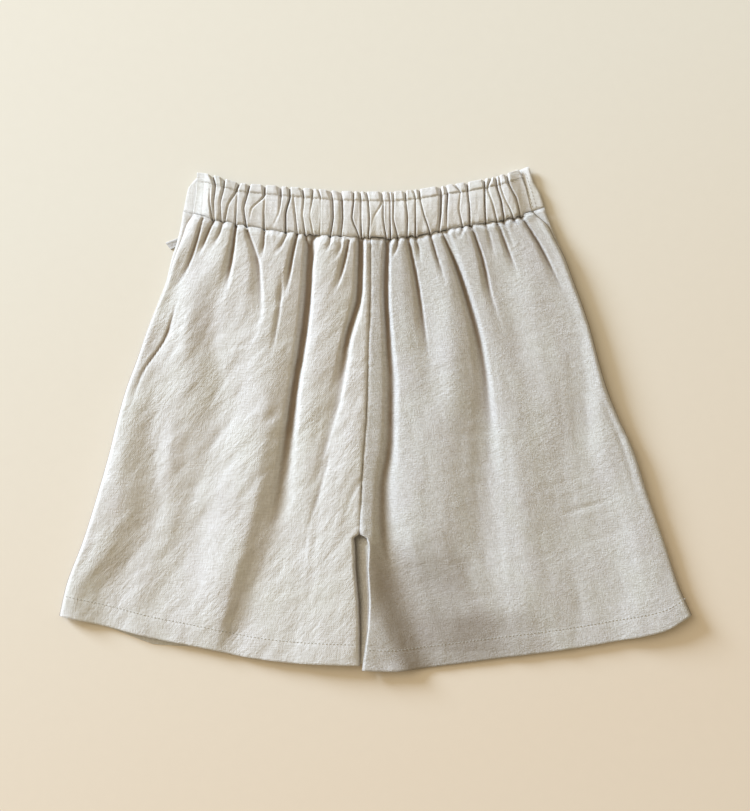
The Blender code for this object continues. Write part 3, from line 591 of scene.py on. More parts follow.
def cross_depth(x, y):
    """Depth of the short creases that run across a leg."""
    depth = 0.0
    for x_a, y_a, x_b, y_b, deep, width in CROSS_CREASES:
        run_x, run_y = x_b - x_a, y_b - y_a
        length = math.hypot(run_x, run_y)
        along = ((x - x_a) * run_x + (y - y_a) * run_y) / length
        across = ((y - y_a) * run_x - (x - x_a) * run_y) / length
        ends = ease(along / (0.4 * length)) * ease((length - along) / (0.4 * length))
        depth = depth + deep * ends * valley(across, width, 0.5, 0.6)
    return depth


def front_under(side, x, y):
    """Underside of the front: above the drawstring, curled up at the side, lifted in between."""
    start, end = 38.0, 80.0     # mm down from the waist where the lift over the drawstring falls
    room = TIE_ROOM * (1.0 - ease((waist_y(x) - y - start) / (end - start)))
    rise = read(RISE, 1 if side == "left" else 2, y)
    inside = np.abs(x - outline_x(side, y))
    between = np.abs(x - read_down(FRONT_INNER, 1, y))
    lift = LEG_LIFT * ease((CROTCH_Y + 4.0 - y) / LEG_REACH) * fade(between, LEG_REACH) ** 1.1
    return room + lift + rise * fade(inside, SIDE_CURL) ** 2


def front_top(side, x, y, cloth):
    """Upper face of the front: it turns up at the side seam to meet the back."""
    way = 1.0 if side == "left" else -1.0
    meet = 1.9 * fade((x - seam_x(side, y)) * way, 7.0) ** 2
    fall = 1.3 * fade((x - outline_x(side, y)) * way, 3.0) ** 2     # its edge is rounded off
    return front_under(side, x, y) + cloth + meet - fall


def form_height(side, x, y):
    """Height of a back through its broad ridges and hollows."""
    edges = {"side edge": seam_x, "inner edge": inner_x}
    lines = []
    heights = []
    for name, xs, zs in FORMS[side]:
        lines.append(edges[name](side, y) if name in edges else smooth(LEVELS, xs, y))
        heights.append(smooth(LEVELS, zs, y))
    return through(np.maximum.accumulate(np.array(lines), axis=0), np.array(heights), x)


def back_top(side, x, y, cloth, detail=1.0):
    """Upper face of a back: puffed up, folded, and rolled down at its side seam and inseam."""
    waist = seam_y(x)
    hem = hem_y(side, x)
    under = front_under(side, x, y)
    height = form_height(side, x, y) - WAIST_FALL * (1.0 - ease((waist - y) / WAIST_REACH)) ** 2

    depth = detail * cross_depth(x, y) + sum(fold_depth(fold, x, y) for fold in FOLDS[side])
    free = ease(((waist - y) / (waist - hem) - 0.03) / 0.25)  # 0 in the gathers, 1 below
    depth = depth - detail * (0.35 + 0.65 * free) * crumple(side, x, y)

    # Puckers at the waist seam, and waves and a groove along the stitches of the hem
    pucker = noise(x / 3.6, y / 14.0, 31) * ease(1.0 - (waist - y) / 16.0)
    seam = y - hem - HEM_DEPTH + 1.0
    hem_wave = noise(x / 4.2, y / 9.0, 32) * (0.30 if side == "left" else 0.20)
    depth = depth - detail * (0.8 * pucker + hem_wave * bump(seam, 12.0))
    depth = depth + detail * 0.35 * bump(seam, 2.2) - 0.35 * ease(1.0 - seam / 1.5)

    # The cloth comes to rest softly on the layer beneath
    floor = under + CLOTH_SOLID + LAYER_GAP + cloth + 0.3
    height = floor + np.logaddexp(0.0, 1.4 * (height - depth - floor)) / 1.4

    # It rolls down at its side edge and, below the crotch, at its inner edge
    rim = under + 2.0 * cloth + RIM_LIFT[side]
    near = fade(np.abs(x - seam_x(side, y)), SIDE_ROLL)
    height = rim + (height - rim) * np.sqrt(1.0 - near ** 2)
    inner = np.abs(x - inner_x(side, y))
    legs = ease((CROTCH_Y + 6.0 - y) / 12.0)
    near = fade(inner, INNER_ROLL[side])
    height = height + legs * (under + 3.6 - height) * (1.0 - np.sqrt(1.0 - near ** 2))

    # Above the crotch the centre seam pulls it down
    groove = SEAM_GROOVE[side] * fade(inner, 3.5) ** 2
    pull = detail * 0.35 * noise(x / 5.0, y / 4.4, 33) * bump(inner, 7.0)
    return np.maximum(height - (1.0 - legs) * (groove + pull), floor - 1.2)


def band_end(side, up):
    """Point of the seam that ends the back waistband on a side, from its share up."""
    first = 1 if side == "left" else 3
    return tuple(np.interp(up, column(BAND_ENDS, 0), column(BAND_ENDS, index))
                 for index in (first, first + 1))


def band_depth(x, up):
    """Depth of the waistband's gathers."""
    depth = 0.0
    shares = (0.0, 0.42, 0.78, 1.0)     # of the seam, half way, the stitches and the edge
    for edge, stitch, half, seam, head, at_stitch, middle, low, width, skew in GATHERS:
        line = (seam, half, stitch, edge)
        path = 0.5 * (np.interp(up, shares, line) + smooth(shares, line, up))
        deep = np.interp(up, (0.0, 0.42, 0.76, 0.84, 1.0), (low, middle, at_stitch, head, head))
        wide = width * np.interp(up, (0.0, 0.2, 0.76, 1.0), (0.8, 0.6, 0.6, 1.1))
        deep = 1.15 * deep * valley(x - path, wide, skew, 0.65)
        depth = np.maximum(depth, deep) + 0.15 * np.minimum(depth, deep)
    return depth


def band_top(x, y, detail=1.0):
    """Upper face of the back waistband with its gathers and the waves of its heading."""
    end_height, lowest = 6.6, 4.2
    low = seam_y(x)
    up = np.clip((y - low) / (heading_y(x) - low), 0.0, 1.0)
    wave = noise(x / 5.4, up * 2.0, 41) * 0.45 + noise(x / 2.6, up * 5.0, 42) * 0.16
    stitch_groove = 0.3 * bump(up - 0.8, 0.028)
    seam_groove = (1.0 - ease(up / 0.07)) ** 2 * (0.7 + 0.9 * band_depth(x, 0.05))
    depth = band_depth(x, up) + detail * wave + stitch_groove + seam_groove
    ends = 1.0
    for side in ("left", "right"):
        ends = ends * ease(np.abs(x - band_end(side, up)[0]) / 16.0)
    return np.maximum(end_height + (read(BAND_PUFF, 1, up) - depth - end_height) * ends, lowest)


def flat_band_under(x, y):
    """Underside of the front waistband: it curls up at its right end to meet the back one."""
    return TIE_ROOM + 2.6 * ease((x - 138.0) / 8.0)


def flat_band_top(x, y):
    """Upper face of the front waistband, rounded off at its left end."""
    left = fade(x + 182.6 - 0.21 * (y - 197.0), 9.0)
    return flat_band_under(x, y) + 1.4 + 0.12 * noise(x / 9.0, y / 12.0, 51) - 0.9 * left ** 2


def steep(top, x, y):
    """How much longer than its normal thickness an upright line through the cloth is."""
    step = 0.6
    across = (top(x + step, y) - top(x - step, y)) / (2.0 * step)
    along = (top(x, y + step) - top(x, y - step)) / (2.0 * step)
    return np.minimum(np.sqrt(1.0 + across ** 2 + along ** 2), 2.2)


# Meshes

def flat_place(x, y, top):
    """Where each point lies on the cut cloth: along the row, and down from the waist."""
    run = np.sqrt(np.diff(x, axis=1) ** 2 + np.diff(y, axis=1) ** 2 + np.diff(top, axis=1) ** 2)
    run = np.concatenate([np.zeros((len(x), 1)), np.cumsum(run, axis=1)], axis=1)
    run = run - run[:, run.shape[1] // 2][:, None]
    return np.stack([run, y], axis=-1) * MM


def hollow(x, top, reach, least):
    """How deep each point of a grid lies in its fold, for painted shade: 0 on open cloth, 1 in a
    crevice.
    """
    step = abs(x[0, -1] - x[0, 0]) / x.shape[1]
    deep = 0.0
    for width in (0.5 * reach, reach):
        side = max(int(width / step), 1)
        total = np.cumsum(np.pad(top, ((0, 0), (side + 1, side)), mode="edge"), axis=1)
        near = (total[:, 2 * side + 1:] - total[:, :-2 * side - 1]) / (2 * side + 1)
        deep = deep + (near - top) / width
    return np.clip((deep - least) / (6.0 * least), 0.0, 1.0)


def in_frame(points):
    """Turn points in the tables' millimetres into points in the frame."""
    return (np.asarray(points) - (*MIDDLE, 0.0)) * MM


def place_piece(name, mesh, material):
    """Put a smooth mesh on the frame, with its finish in a slot."""
    mesh.shade_smooth()
    mesh.materials.append(material)
    piece = bpy.data.objects.new(name, mesh)
    bpy.context.scene.collection.objects.link(piece)
    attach(piece, "root")
    return piece


def shell(name, x, y, top, bottom, material, reach=6.0, least=0.10, shade=0.0):
    """Close a sheet of cloth, given as grids in millimetres, with a rounded edge all round."""
    rows, columns = x.shape
    count = rows * columns
    index = np.arange(count).reshape(rows, columns)
    ring = np.concatenate([index[0], index[1:, -1], index[-1, -2::-1], index[-2:0:-1, 0]])
    upper, lower = (np.stack([x, y, z], axis=-1).reshape(-1, 3) for z in (top, bottom))
    after = np.roll(ring, -1)
    run = upper[after, :2] - upper[np.roll(ring, 1), :2]
    out = np.stack([-run[:, 1], run[:, 0]], axis=-1)
    out = out / np.maximum(np.hypot(run[:, 0], run[:, 1]), 1e-6)[:, None]
    edge = 0.5 * (upper[ring] + lower[ring])
    edge[:, :2] += 0.3 * np.minimum(upper[ring, 2] - lower[ring, 2], 1.0)[:, None] * out
    a, b, c, d = (part.ravel() for part in (index[:-1, :-1], index[1:, :-1], index[1:, 1:],
                                            index[:-1, 1:]))
    rim = 2 * count + np.arange(len(ring))
    rim_after = np.roll(rim, -1)
    faces = np.concatenate([
        np.stack([a, b, c, d], axis=1),
        np.stack([d, c, b, a], axis=1) + count,
        np.stack([ring, after, rim_after, rim], axis=1),
        np.stack([rim, rim_after, after + count, ring + count], axis=1),
    ])
    mesh = bpy.data.meshes.new(name)
    mesh.from_pydata(in_frame(np.concatenate([upper, lower, edge])).tolist(), [], faces.tolist())

    # The cut cloth lies flat in the map, and deep marks painted shade: the bottoms of the folds and
    # the given shade
    place = flat_place(x, y, top).reshape(-1, 2)
    place = np.concatenate([place, place, place[ring]])
    corners = np.empty(len(mesh.loops), int)
    mesh.loops.foreach_get("vertex_index", corners)
    layer = mesh.uv_layers.new(name="cut")
    layer.data.foreach_set("uv", place[corners].astype(np.float32).ravel())
    deep = np.maximum(hollow(x, top, reach, least), shade).ravel()
    deep = np.concatenate([deep, deep, deep[ring]]).astype(np.float32)
    mesh.attributes.new("deep", "FLOAT", "POINT").data.foreach_set("value", deep)
    mesh.validate()
    return place_piece(name, mesh, material)


# Sheets

def edge_line(start_x, end_x, height):
    """Upper or lower edge of a sheet, as a function of the share along it."""
    def line(share):
        x = start_x + (end_x - start_x) * share
        return x, height(x)
    return line


def side_line(start_y, end_y, place, corner_x=None):
    """Side edge of a sheet, as a function of its share downwards."""
    def line(down):
        y = start_y + (end_y - start_y) * down
        return corner_x if down == 0 and corner_x is not None else place(y), y
    return line


def span(top, bottom, first, second, shares, downs):
    """Grid of a sheet spanned between its upper and lower edge and its two side edges."""
    left, right = (np.array([side(down) for down in downs]) for side in (first, second))
    down = downs[:, None]
    grid = []
    for k in (0, 1):
        ruled = (1.0 - down) * top(shares)[k] + down * bottom(shares)[k]
        sides = (1.0 - shares) * left[:, k:k + 1] + shares * right[:, k:k + 1]
        corners = ((1.0 - down) * ((1.0 - shares) * top(0.0)[k] + shares * top(1.0)[k])
                   + down * ((1.0 - shares) * bottom(0.0)[k] + shares * bottom(1.0)[k]))
        grid.append(ruled + sides - corners)
    return grid


def between_ends(first, second, top, bottom, shares, downs):
    """Grid of a sheet whose upper and lower edge run from one side edge to the other."""
    edges = [edge_line(first(down)[0], second(down)[0], height)
             for down, height in ((0.0, top), (1.0, bottom))]
    return span(*edges, first, second, shares, downs)


def leg_grid(side, outer, inner, *rest):
    """The same for a panel of a leg, given its outer and its inner edge."""
    first, second = (outer, inner) if side == "left" else (inner, outer)
    return between_ends(first, second, *rest)


def back_grid(side, rows, columns):
    """Grid of a back, its rows closer together near the waist."""
    nudge = -0.12 if side == "left" else 0.12
    corner_x, corner_y = BACK_CORNER[side]
    outer_end, inner_end = hem_corners(side)
    outer = side_line(corner_y, outer_end[1], lambda y: seam_x(side, y), corner_x)
    inner = side_line(waist_y(-5.5) - GAP / 2, inner_end[1],
                      lambda y: read_down(INNER, 3, y) + nudge)
    downs = 0.62 * even(rows) + 0.38 * even(rows) ** 1.35
    x, y = leg_grid(side, outer, inner, lambda x: seam_y(x) - GAP / 2,
                    lambda x: hem_y(side, x), even(columns), downs)
    edge = np.array([inner(down) for down in downs])
    edge_x, edge_y = edge[:, :1], edge[:, 1:]
    shift = inner_x(side, edge_y) + nudge - edge_x
    return x + shift * fade(np.abs(x - edge_x), 16.0) ** 2, y


def front_grid(side, rows, columns):
    """Grid of a front, its columns closer together at both sides."""
    nudge = -GAP / 2 if side == "left" else GAP / 2
    corner_x, corner_y = FRONT_CORNER[side]

    def hem_line(x):
        shown = HEM_SHOWN * fade(np.abs(x - SHOWN_X), SHOWN_REACH)
        return hem_y(side, x) + 1.5 - (shown if side == "left" else 0.0)

    outer = side_line(corner_y, hem_line(hem_corners(side)[0][0]),
                      lambda y: outline_x(side, y), corner_x)
    inner = side_line(waist_y(-6.0) - GAP / 2, hem_line(FRONT_INNER[-1][1] + nudge),
                      lambda y: read_down(FRONT_INNER, 1, y) + nudge)
    shares = 0.5 - 0.5 * np.cos(np.pi * even(columns))
    return leg_grid(side, outer, inner, lambda x: waist_y(x) - GAP / 2, hem_line, shares,
                    even(rows))


def band_back_grid(rows, columns):
    """Grid of the back waistband, its heading scalloped by its gathers."""
    first, second = (lambda down, side=side: band_end(side, 1.0 - down)
                     for side in ("left", "right"))
    return between_ends(first, second, lambda x: heading_y(x) + 0.5 - 0.34 * band_depth(x, 1.0),
                        lambda x: seam_y(x) + GAP / 2, even(columns), even(rows))


def band_front_grid(rows, columns):
    """Grid of the front waistband, which shows at both ends of the back one."""
    def first(down):
        return [np.interp(down, (0.0, 0.5, 1.0), place)
                for place in ((-178.0, -179.6, -182.6), (219.0, 212.0, 197.2))]

    def second(down):
        return [np.interp(down, (0.0, 0.4, 0.65, 1.0), place)
                for place in ((144.5, 149.0, 155.0, 159.2), (239.0, 223.5, 214.0, 200.7))]

    return span(edge_line(-178.0, 144.5, lambda x: read(FRONT_BAND_TOP, 1, x)),
                edge_line(-182.6, 159.7, lambda x: waist_y(x) + GAP / 2), first, second,
                even(columns), even(rows))


# Shader maths

def feed(node, inputs):
    """Set the sockets of a node, each to a value or to the wire that varies it."""
    for key, value in inputs.items():
        if isinstance(value, Wire):
            node.id_data.links.new(value.socket, node.inputs[key])
        else:
            node.inputs[key].default_value = value


class Wire:
    """An output of a node. Arithmetic on it adds Math nodes to its tree."""

    def __init__(self, tree, socket=None):
        self.tree = tree
        self.socket = socket

    def add(self, kind, settings, inputs, output=0):
        """Add any node: its settings first, then the values or wires of its sockets."""
        node = self.tree.nodes.new(kind)
        for name, value in settings.items():
            setattr(node, name, value)
        feed(node, inputs)
        return Wire(self.tree, node.outputs[output])

    def math(self, operation, *values):
        return self.add("ShaderNodeMath", {"operation": operation}, dict(enumerate(values)))

    def __add__(self, other):
        return self.math("ADD", self, other)

    def __mul__(self, other):
        return self.math("MULTIPLY", self, other)

    def __sub__(self, other):
        return self.math("SUBTRACT", self, other)

    def sine(self):
        return self.math("SINE", self)

    def parts(self):
        """The x and the y of a vector wire."""
        split = self.add("ShaderNodeSeparateXYZ", {}, {0: self})
        return split, Wire(self.tree, split.socket.node.outputs[1])

    def noise(self, stretch, detail=2.0):
        """Noise over a vector wire that is stretched by a scale for each axis."""
        place = self.add("ShaderNodeVectorMath", {"operation": "MULTIPLY"}, {0: self, 1: stretch})
        return self.add("ShaderNodeTexNoise", {"noise_dimensions": "3D"},
                        {"Vector": place, "Scale": 1.0, "Detail": detail, "Roughness": 0.5})

    def mix(self, share, first, second):
        """Mix two colours by a wire or a number."""
        return self.add("ShaderNodeMix", {"data_type": "RGBA"}, {0: share, 6: first, 7: second}, 2)

    def bump(self, strength, distance, height, **normal):
        return self.add("ShaderNodeBump", {}, {"Strength": strength, "Distance": distance,
                                               "Height": height, **normal})


def tinted(colour, *tint):
    """A colour multiplied by one number or by three, kept within its range."""
    tint = tint * 3 if len(tint) == 1 else tint
    return tuple(min(c * t, 1.0) for c, t in zip(colour, tint)) + (1.0,)


def finish(name, build):
    """Reuse a material, or make it with what a function gives for its shader's sockets."""
    material = bpy.data.materials.get(name)
    if material is None:
        material = bpy.data.materials.new(name)
        material.use_nodes = True
        feed(material.node_tree.nodes["Principled BSDF"], build(Wire(material.node_tree)))
    return material


def linen(colour, warmth, weave, relief, angle, crinkle, slub):
    """Plain-woven linen: slubby threads both ways, crinkles at an angle, a dry surface and painted
    shade.
    """
    def build(start):
        place = start.add("ShaderNodeTexCoord", {}, {}, "UV")
        across, along = place.parts()

        def yarn(stretch, slim, detail=2.0):
            return place.noise((stretch / weave, slim / weave, 1.0), detail)

        threads = yarn(1.0, 0.22) + yarn(0.22, 1.0)
        slubs = yarn(0.50, 0.09) + yarn(0.09, 0.50)
        turn = math.pi / weave
        checks = (across * turn).sine() * (along * turn).sine()
        tone = (threads * 0.5 + slubs * 1.1 - 1.6) * (2.2 * slub) + 0.5
        base = start.mix(tone, tinted(colour, *warmth), tinted(colour, 1.12))
        tint = start.mix(yarn(0.02, 0.014, 3.0) * 2.4 - 0.7, tinted(colour, 1.0, 0.975, 1.0),
                         tinted(colour, 1.0, 1.01, 0.95))
        # Painted shade: the colour turns dark brown where deep marks the bottoms of the folds and
        # the given shade
        deep = start.add("ShaderNodeAttribute", {"attribute_name": "deep"}, {}, "Fac")
        shaded = start.mix(deep * 0.85, start.mix(0.45, base, tint),
                           tinted(colour, 0.32, 0.23, 0.15))

        turned = start.add("ShaderNodeVectorRotate", {"rotation_type": "Z_AXIS"},
                           {"Vector": place, "Angle": -angle})
        where = place.noise((26.0, 19.0, 1.0), 1.0) * 2.4 - 0.7
        broad = turned.noise((75.0, 210.0, 1.0), 3.0)
        fine = turned.noise((230.0, 520.0, 1.0))
        creases = start.bump(1.0, 0.001 * crinkle, (broad + fine * 0.4) * where)
        normal = start.bump(min(relief * slub, 1.0), 0.0005, checks * 0.15 + threads + slubs * 0.6,
                            Normal=creases)
        return {"Base Color": shaded, "Normal": normal, "Roughness": 0.92,
                "Specular IOR Level": 0.25, "Sheen Weight": 0.12, "Sheen Roughness": 0.5}
    return build


def thread(colour):
    """Twisted sewing thread."""
    def build(start):
        ply = start.add("ShaderNodeTexCoord", {}, {}, "Object").noise((2500.0, 2500.0, 900.0), 1.0)
        return {"Base Color": start.mix(ply, tinted(colour, 0.86), tinted(colour, 1.12)),
                "Normal": start.bump(0.3, 0.0001, ply), "Roughness": 0.7}
    return build


def paper(colour):
    """Matt backdrop with a faint mottle, and painted light: cooler and lighter at its upper left,
    warmer and darker towards its lower right.
    """
    def build(start):
        place = start.add("ShaderNodeTexCoord", {}, {}, "Object")
        right, up = place.parts()
        # Painted light: the fall-off of the window light, which is up to the left
        painted_falloff = start.mix(right * 0.5 - up * 1.6 + 0.45, tinted(colour, 1.005, 1.03, 1.045),
                         tinted(colour, 1.03, 0.965, 0.91))
        grain = place.noise((90.0, 90.0, 90.0), 4.0)
        return {"Base Color": start.mix(grain * 0.06, painted_falloff, (0.5, 0.45, 0.38, 1.0)),
                "Roughness": 0.95, "Specular IOR Level": 0.1}
    return build


def cloth_finish(context, side="band"):
    """The linen of a leg or of the waistband: each leg has its own crinkles and painted light and
    shade.
    """
    look = context.scene.shorts_linen
    angle, crinkle, shade, slub = FINISHES[side]
    return finish("linen_" + side, linen(
        [c * shade for c in look.colour], look.shade, look.thread / slub ** 0.7, look.relief,
        math.radians(angle), crinkle * look.crumple, slub))


# Stitches

def stitch_line(points, height):
    """Split a path of (x, y) into stitches that lie on a surface: start and end points."""
    points = np.asarray(points, float)
    run = np.concatenate([[0.0], np.cumsum(np.hypot(*np.diff(points, axis=0).T))])
    count = max(int(run[-1] / STITCH), 1)
    pairs = []
    for share in (0.12, 0.80):
        at = (np.arange(count) + share) * run[-1] / count
        x = np.interp(at, run, points[:, 0])
        y = np.interp(at, run, points[:, 1])
        pairs.append(np.stack([x, y, height(x, y) + STITCH_LIFT], axis=-1))
    return pairs


def stitches(name, slot, lines, material, radius=0.4):
    """Build every stitch of a group of lines as a short plump thread."""
    points = []
    faces = []
    sides = 5
    profile = ((0.0, 0.25), (0.18, 0.85), (0.5, 1.0), (0.82, 0.85), (1.0, 0.25))
    for starts, ends in lines:
        for a, b in zip(starts, ends):
            axis = (b - a) / np.linalg.norm(b - a)
            over = np.cross(axis, (0.0, 0.0, 1.0))
            over = over / max(np.linalg.norm(over), 1e-6)
            up = np.cross(over, axis)
            base = len(points)
            for t, size in profile:
                middle = a + (b - a) * t + up * (radius * (0.5 * math.sin(math.pi * t) - 0.1))
                for k in range(sides):
                    angle = 2.0 * math.pi * k / sides
                    points.append(middle + radius * size * (over * math.cos(angle)
                                                            + up * math.sin(angle)))
            last = base + (len(profile) - 1) * sides
            for p in range(base, last, sides):
                faces += [(p + k, p + after, p + sides + after, p + sides + k)
                          for k, after in zip(range(sides), [*range(1, sides), 0])]
            faces.append(tuple(base + k for k in reversed(range(sides))))
            faces.append(tuple(last + k for k in range(sides)))
    mesh = bpy.data.meshes.new(name)
    mesh.from_pydata(in_frame(points).tolist(), [], faces)
    return place_piece(name, mesh, material)


# Settings, through short forms of their properties

def number(name, description, default, low, high, **more):
    return FloatProperty(name=name, description=description, default=default, min=low, max=high,
                         **more)


def whole(name, description, default, low, high):
    return IntProperty(name=name, description=description, default=default, min=low, max=high)


def paint(name, description, default):
    return FloatVectorProperty(name=name, description=description, size=3, default=default,
                               min=0.0, max=1.0, subtype="COLOR")


class ShortsLinen(bpy.types.PropertyGroup):
    cloth: number("Cloth", "Thickness of the linen, in millimetres", 0.75, 0.3, 1.4)
    band: number("Waistband", "Thickness of the casing, in millimetres", 1.4, 0.6, 1.9)
    crumple: number("Crumpling", "Share of the small creases", 1.0, 0.0, 1.5, subtype="FACTOR")
    thread: number("Thread", "Width of one thread of the weave", 0.00085, 0.0003, 0.003,
                   precision=5, unit="LENGTH")
    relief: number("Relief", "Strength of the weave's relief", 0.8, 0.0, 1.0, subtype="FACTOR")
    colour: paint("Colour", "Undyed linen", (0.655, 0.64, 0.62))
    shade: paint("Dark threads", "Tint of the darker threads", (0.86, 0.84, 0.80))
    sewing: paint("Sewing thread", "Colour of the stitches", (0.42, 0.39, 0.33))


class ShortsDetail(bpy.types.PropertyGroup):
    rows: whole("Rows", "Rows of cloth down a leg", 250, 40, 260)
    columns: whole("Columns", "Columns of cloth across a leg", 176, 30, 190)
    band_columns: whole("Waistband columns", "Columns across the gathered waistband", 600, 100, 640)


class ShortsStudio(bpy.types.PropertyGroup):
    height: number("Camera height", "Distance above the surface", 1.6, 0.5, 5.0,
                   unit="LENGTH", subtype="DISTANCE")
    view: number("View", "Height of the picture on the surface", 0.77045, 0.2, 2.0,
                 unit="LENGTH", subtype="DISTANCE")
    key: number("Key light", "Power of the window light", 735.0, 0.0, 2000.0, unit="POWER")
    bounce: number("Bounce", "Power of the soft light above the window", 225.0, 0.0, 2000.0,
                   unit="POWER")
    fill: number("Fill", "Strength of the light from all round", 0.50, 0.0, 3.0)
    key_colour: paint("Key colour", "Colour of the window light", (0.655, 0.80, 1.0))
    bounce_colour: paint("Bounce colour", "Colour of the bounce", (1.0, 0.90, 0.727))
    fill_colour: paint("Fill colour", "Colour of the room's light", (0.76, 0.637, 0.43))
    floor: paint("Floor", "Colour of the backdrop", (0.82, 0.757, 0.652))


# Operators

class SHORTS_OT_stage(bpy.types.Operator):
    """Lay the pale backdrop and set the lights and the overhead camera"""
    bl_idname = "shorts.stage"
    bl_label = "Stage"

    def execute(self, context):
        studio = context.scene.shorts_studio
        half = 6.0
        mesh = bpy.data.meshes.new("backdrop")
        corners = [(-half, -half, 0.0), (half, -half, 0.0), (half, half, 0.0), (-half, half, 0.0)]
        mesh.from_pydata(corners, [], [(0, 1, 2, 3)])
        mesh.materials.append(finish("backdrop_paper", paper(studio.floor)))
        floor = bpy.data.objects.new("backdrop", mesh)
        floor.location.z = -0.0002
        context.scene.collection.objects.link(floor)

        sensor = 36.0
        lens = bpy.data.cameras.new("overhead")
        lens.sensor_width = sensor
        lens.lens = sensor * studio.height / studio.view
        lens.clip_end = 20.0
        camera = bpy.data.objects.new("overhead", lens)
        camera.location = (-0.0002, 0.0126, studio.height)
        context.scene.collection.objects.link(camera)
        context.scene.camera = camera

        self.lamp(context, "window", 2.2, 6.5, 18.0, studio.key, studio.key_colour)
        self.lamp(context, "bounce", 6.0, 8.0, 50.0, studio.bounce, studio.bounce_colour)

        world = bpy.data.worlds.new("room")
        context.scene.world = world
        world.use_nodes = True
        feed(world.node_tree.nodes["Background"],
             {"Color": (*studio.fill_colour, 1.0), "Strength": studio.fill})
        context.scene.view_settings.view_transform = "Standard"
        return {"FINISHED"}

    def lamp(self, context, name, size, reach, rise, power, colour):
        """Hang a round light up to the left, turned towards the shorts."""
        light = bpy.data.lights.new(name, "AREA")
        light.shape = "DISK"
        light.size = size
        light.energy = power
        light.color = colour
        lamp = bpy.data.objects.new(name, light)
        turn = math.radians(145.0)
        rise = math.radians(rise)
        out = reach * math.cos(rise)
        lamp.location = (out * math.cos(turn), out * math.sin(turn), reach * math.sin(rise))
        lamp.rotation_euler = (math.pi / 2 - rise, 0.0, turn + math.pi / 2)
        context.scene.collection.objects.link(lamp)


class SHORTS_OT_drawstring(bpy.types.Operator):
    """Lay the flat drawstring beneath the front, with its free end out at the side"""
    bl_idname = "shorts.drawstring"
    bl_label = "Drawstring"

    def execute(self, context):
        x = np.linspace(TIE_PATH[0][0], TIE_PATH[-1][0], 90)
        y = read(TIE_PATH, 1, x)
        along = np.gradient(y, x)
        length = np.sqrt(1.0 + along ** 2)
        across = np.linspace(-0.5, 0.5, 13)[:, None]
        move = -across * TIE_WIDTH
        slant = 0.35 * move * fade(x - x[0], 12.0)
        edge = 0.28 * bump(np.abs(across) - 0.36, 0.12)
        top = TIE_TOP + edge + 0.12 * noise(x / 2.5, y / 3.0, 61)
        piece = shell("drawstring", x - move * along / length - slant, y + move / length,
                      top, 0.0 * top + 0.05, cloth_finish(context, "tie"))
        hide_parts("tie")
        return {"FINISHED"}


class SHORTS_OT_fronts(bpy.types.Operator):
    """Lay the two front panels on the surface"""
    bl_idname = "shorts.fronts"
    bl_label = "Fronts"

    def execute(self, context):
        cloth = context.scene.shorts_linen.cloth
        for side in ("left", "right"):
            x, y = front_grid(side, 110, 90)
            top = front_top(side, x, y, cloth)
            piece = shell("front_panel_" + side, x, y, top, top - cloth,
                          cloth_finish(context, side))
            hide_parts("front_" + side)
        return {"FINISHED"}


class SHORTS_OT_backs(bpy.types.Operator):
    """Lay the two back panels with their folds, hems and creases"""
    bl_idname = "shorts.backs"
    bl_label = "Backs"

    def execute(self, context):
        look = context.scene.shorts_linen
        detail = context.scene.shorts_detail
        for side in ("left", "right"):
            x, y = back_grid(side, detail.rows, detail.columns)
            form = lambda a, b: back_top(side, a, b, look.cloth, look.crumple)
            top = form(x, y)
            # Painted shade in the colour, laid out like the folds, where the back turns away from
            # the light
            shade = sum(fold_depth(row, x, y) for row in PAINTED_SHADES[side])
            piece = shell("back_panel_" + side, x, y, top,
                          top - look.cloth * steep(form, x, y), cloth_finish(context, side),
                          shade=shade)
            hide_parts("back_" + side)
        return {"FINISHED"}


class SHORTS_OT_waistband(bpy.types.Operator):
    """Make the gathered back waistband with its heading, and the flat front one"""
    bl_idname = "shorts.waistband"
    bl_label = "Waistband"

    def execute(self, context):
        look = context.scene.shorts_linen
        cloth = cloth_finish(context)
        x, y = band_back_grid(64, context.scene.shorts_detail.band_columns)
        form = lambda a, b: band_top(a, b, look.crumple)
        top = form(x, y)
        bottom = np.maximum(top - look.band * np.minimum(steep(form, x, y), 1.5), 3.8)
        back = shell("waistband_gathered", x, y, top, bottom, cloth,
                     reach=3.0, least=0.25)
        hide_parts("waistband_back")

        x, y = band_front_grid(16, 180)
        front = shell("waistband_flat", x, y, flat_band_top(x, y),
                      flat_band_under(x, y), cloth)
        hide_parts("waistband_front")
        return {"FINISHED"}


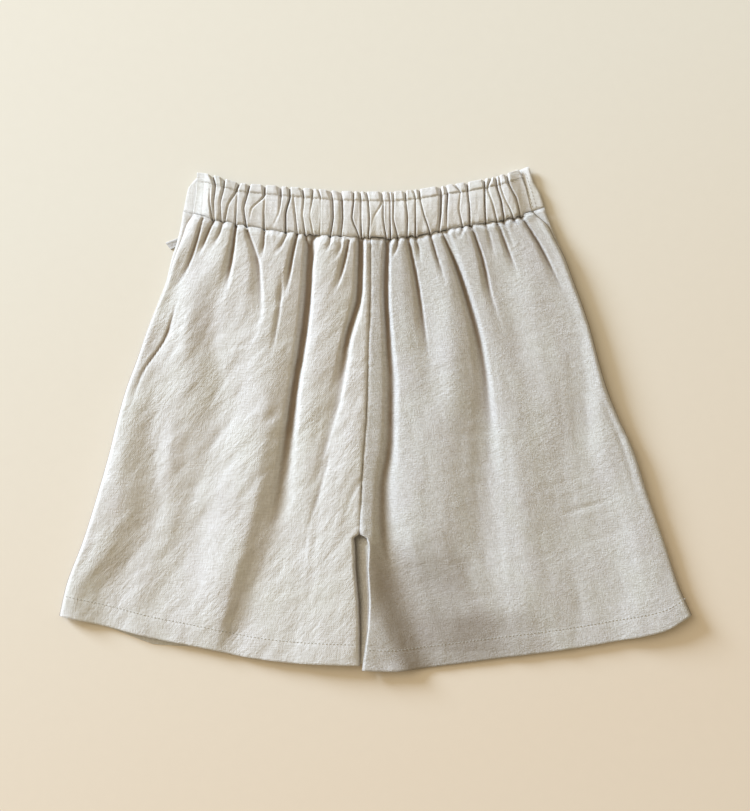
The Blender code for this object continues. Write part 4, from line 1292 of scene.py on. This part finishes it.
class SHORTS_OT_stitching(bpy.types.Operator):
    """Sew the hems, the heading, the centre seam and the right end of the waistband"""
    bl_idname = "shorts.stitching"
    bl_label = "Stitching"

    def execute(self, context):
        look = context.scene.shorts_linen
        yarn = finish("sewing_thread", thread(look.sewing))

        def sew(name, slot, x, y, height, *radius):
            stitches(name, slot, [stitch_line(np.stack([x, y], axis=-1), height)], yarn, *radius)

        for side in ("left", "right"):
            form = lambda a, b: back_top(side, a, b, look.cloth, look.crumple)
            x = np.linspace(HEMS[side][0][0] + 6.0, HEMS[side][-1][0] - 6.0, 120)
            sew("hem_stitches_" + side, "back_" + side, x, hem_y(side, x) + HEM_DEPTH - 1.0, form)
        y = np.linspace(168.0, CROTCH_Y + 8.0, 80)
        form = lambda a, b: back_top("left", a, b, look.cloth, look.crumple)
        sew("seam_stitches", "back_left", inner_x("left", y) - 1.4, y, form, 0.18)
        x = np.linspace(-166.0, 134.0, 400)
        sew("heading_stitches", "waistband_back", x, 0.2 * waist_y(x) + 0.8 * heading_y(x),
            lambda a, b: band_top(a, b, look.crumple), 0.28)
        up = np.linspace(0.06, 0.94, 40)
        ends = [stitch_line(np.stack([band_end("right", up)[0] + gap, 197.5 + 38.5 * up], axis=-1),
                            flat_band_top) for gap in (2.0, 5.5)]
        stitches("side_stitches", "waistband_front", ends, yarn, 0.3)
        return {"FINISHED"}


class SHORTS_PT_panel(bpy.types.Panel):
    """Everything that makes the shorts, in the order that it is run"""
    bl_label = "Linen shorts"
    bl_idname = "SHORTS_PT_panel"
    bl_space_type = "VIEW_3D"
    bl_region_type = "UI"
    bl_category = "Shorts"

    def draw(self, context):
        layout = self.layout
        for step in STEPS:
            layout.operator(step.bl_idname)
        for name in GROUPS:
            group = getattr(context.scene, name)
            box = layout.box()
            for setting in group.__annotations__:
                box.prop(group, setting)


STEPS = (SHORTS_OT_stage, SHORTS_OT_drawstring, SHORTS_OT_fronts, SHORTS_OT_backs,
         SHORTS_OT_waistband, SHORTS_OT_stitching)
GROUPS = {"shorts_linen": ShortsLinen, "shorts_detail": ShortsDetail,
          "shorts_studio": ShortsStudio}
CLASSES = (*GROUPS.values(), *STEPS, SHORTS_PT_panel)


def register():
    for cls in CLASSES:
        bpy.utils.register_class(cls)
    for name, group in GROUPS.items():
        setattr(bpy.types.Scene, name, PointerProperty(type=group))


def unregister():
    for name in GROUPS:
        delattr(bpy.types.Scene, name)
    for cls in reversed(CLASSES):
        bpy.utils.unregister_class(cls)


def main():
    register()
    for step in STEPS:
        group, name = step.bl_idname.split(".")
        getattr(getattr(bpy.ops, group), name)()


if __name__ == "__main__":
    main()
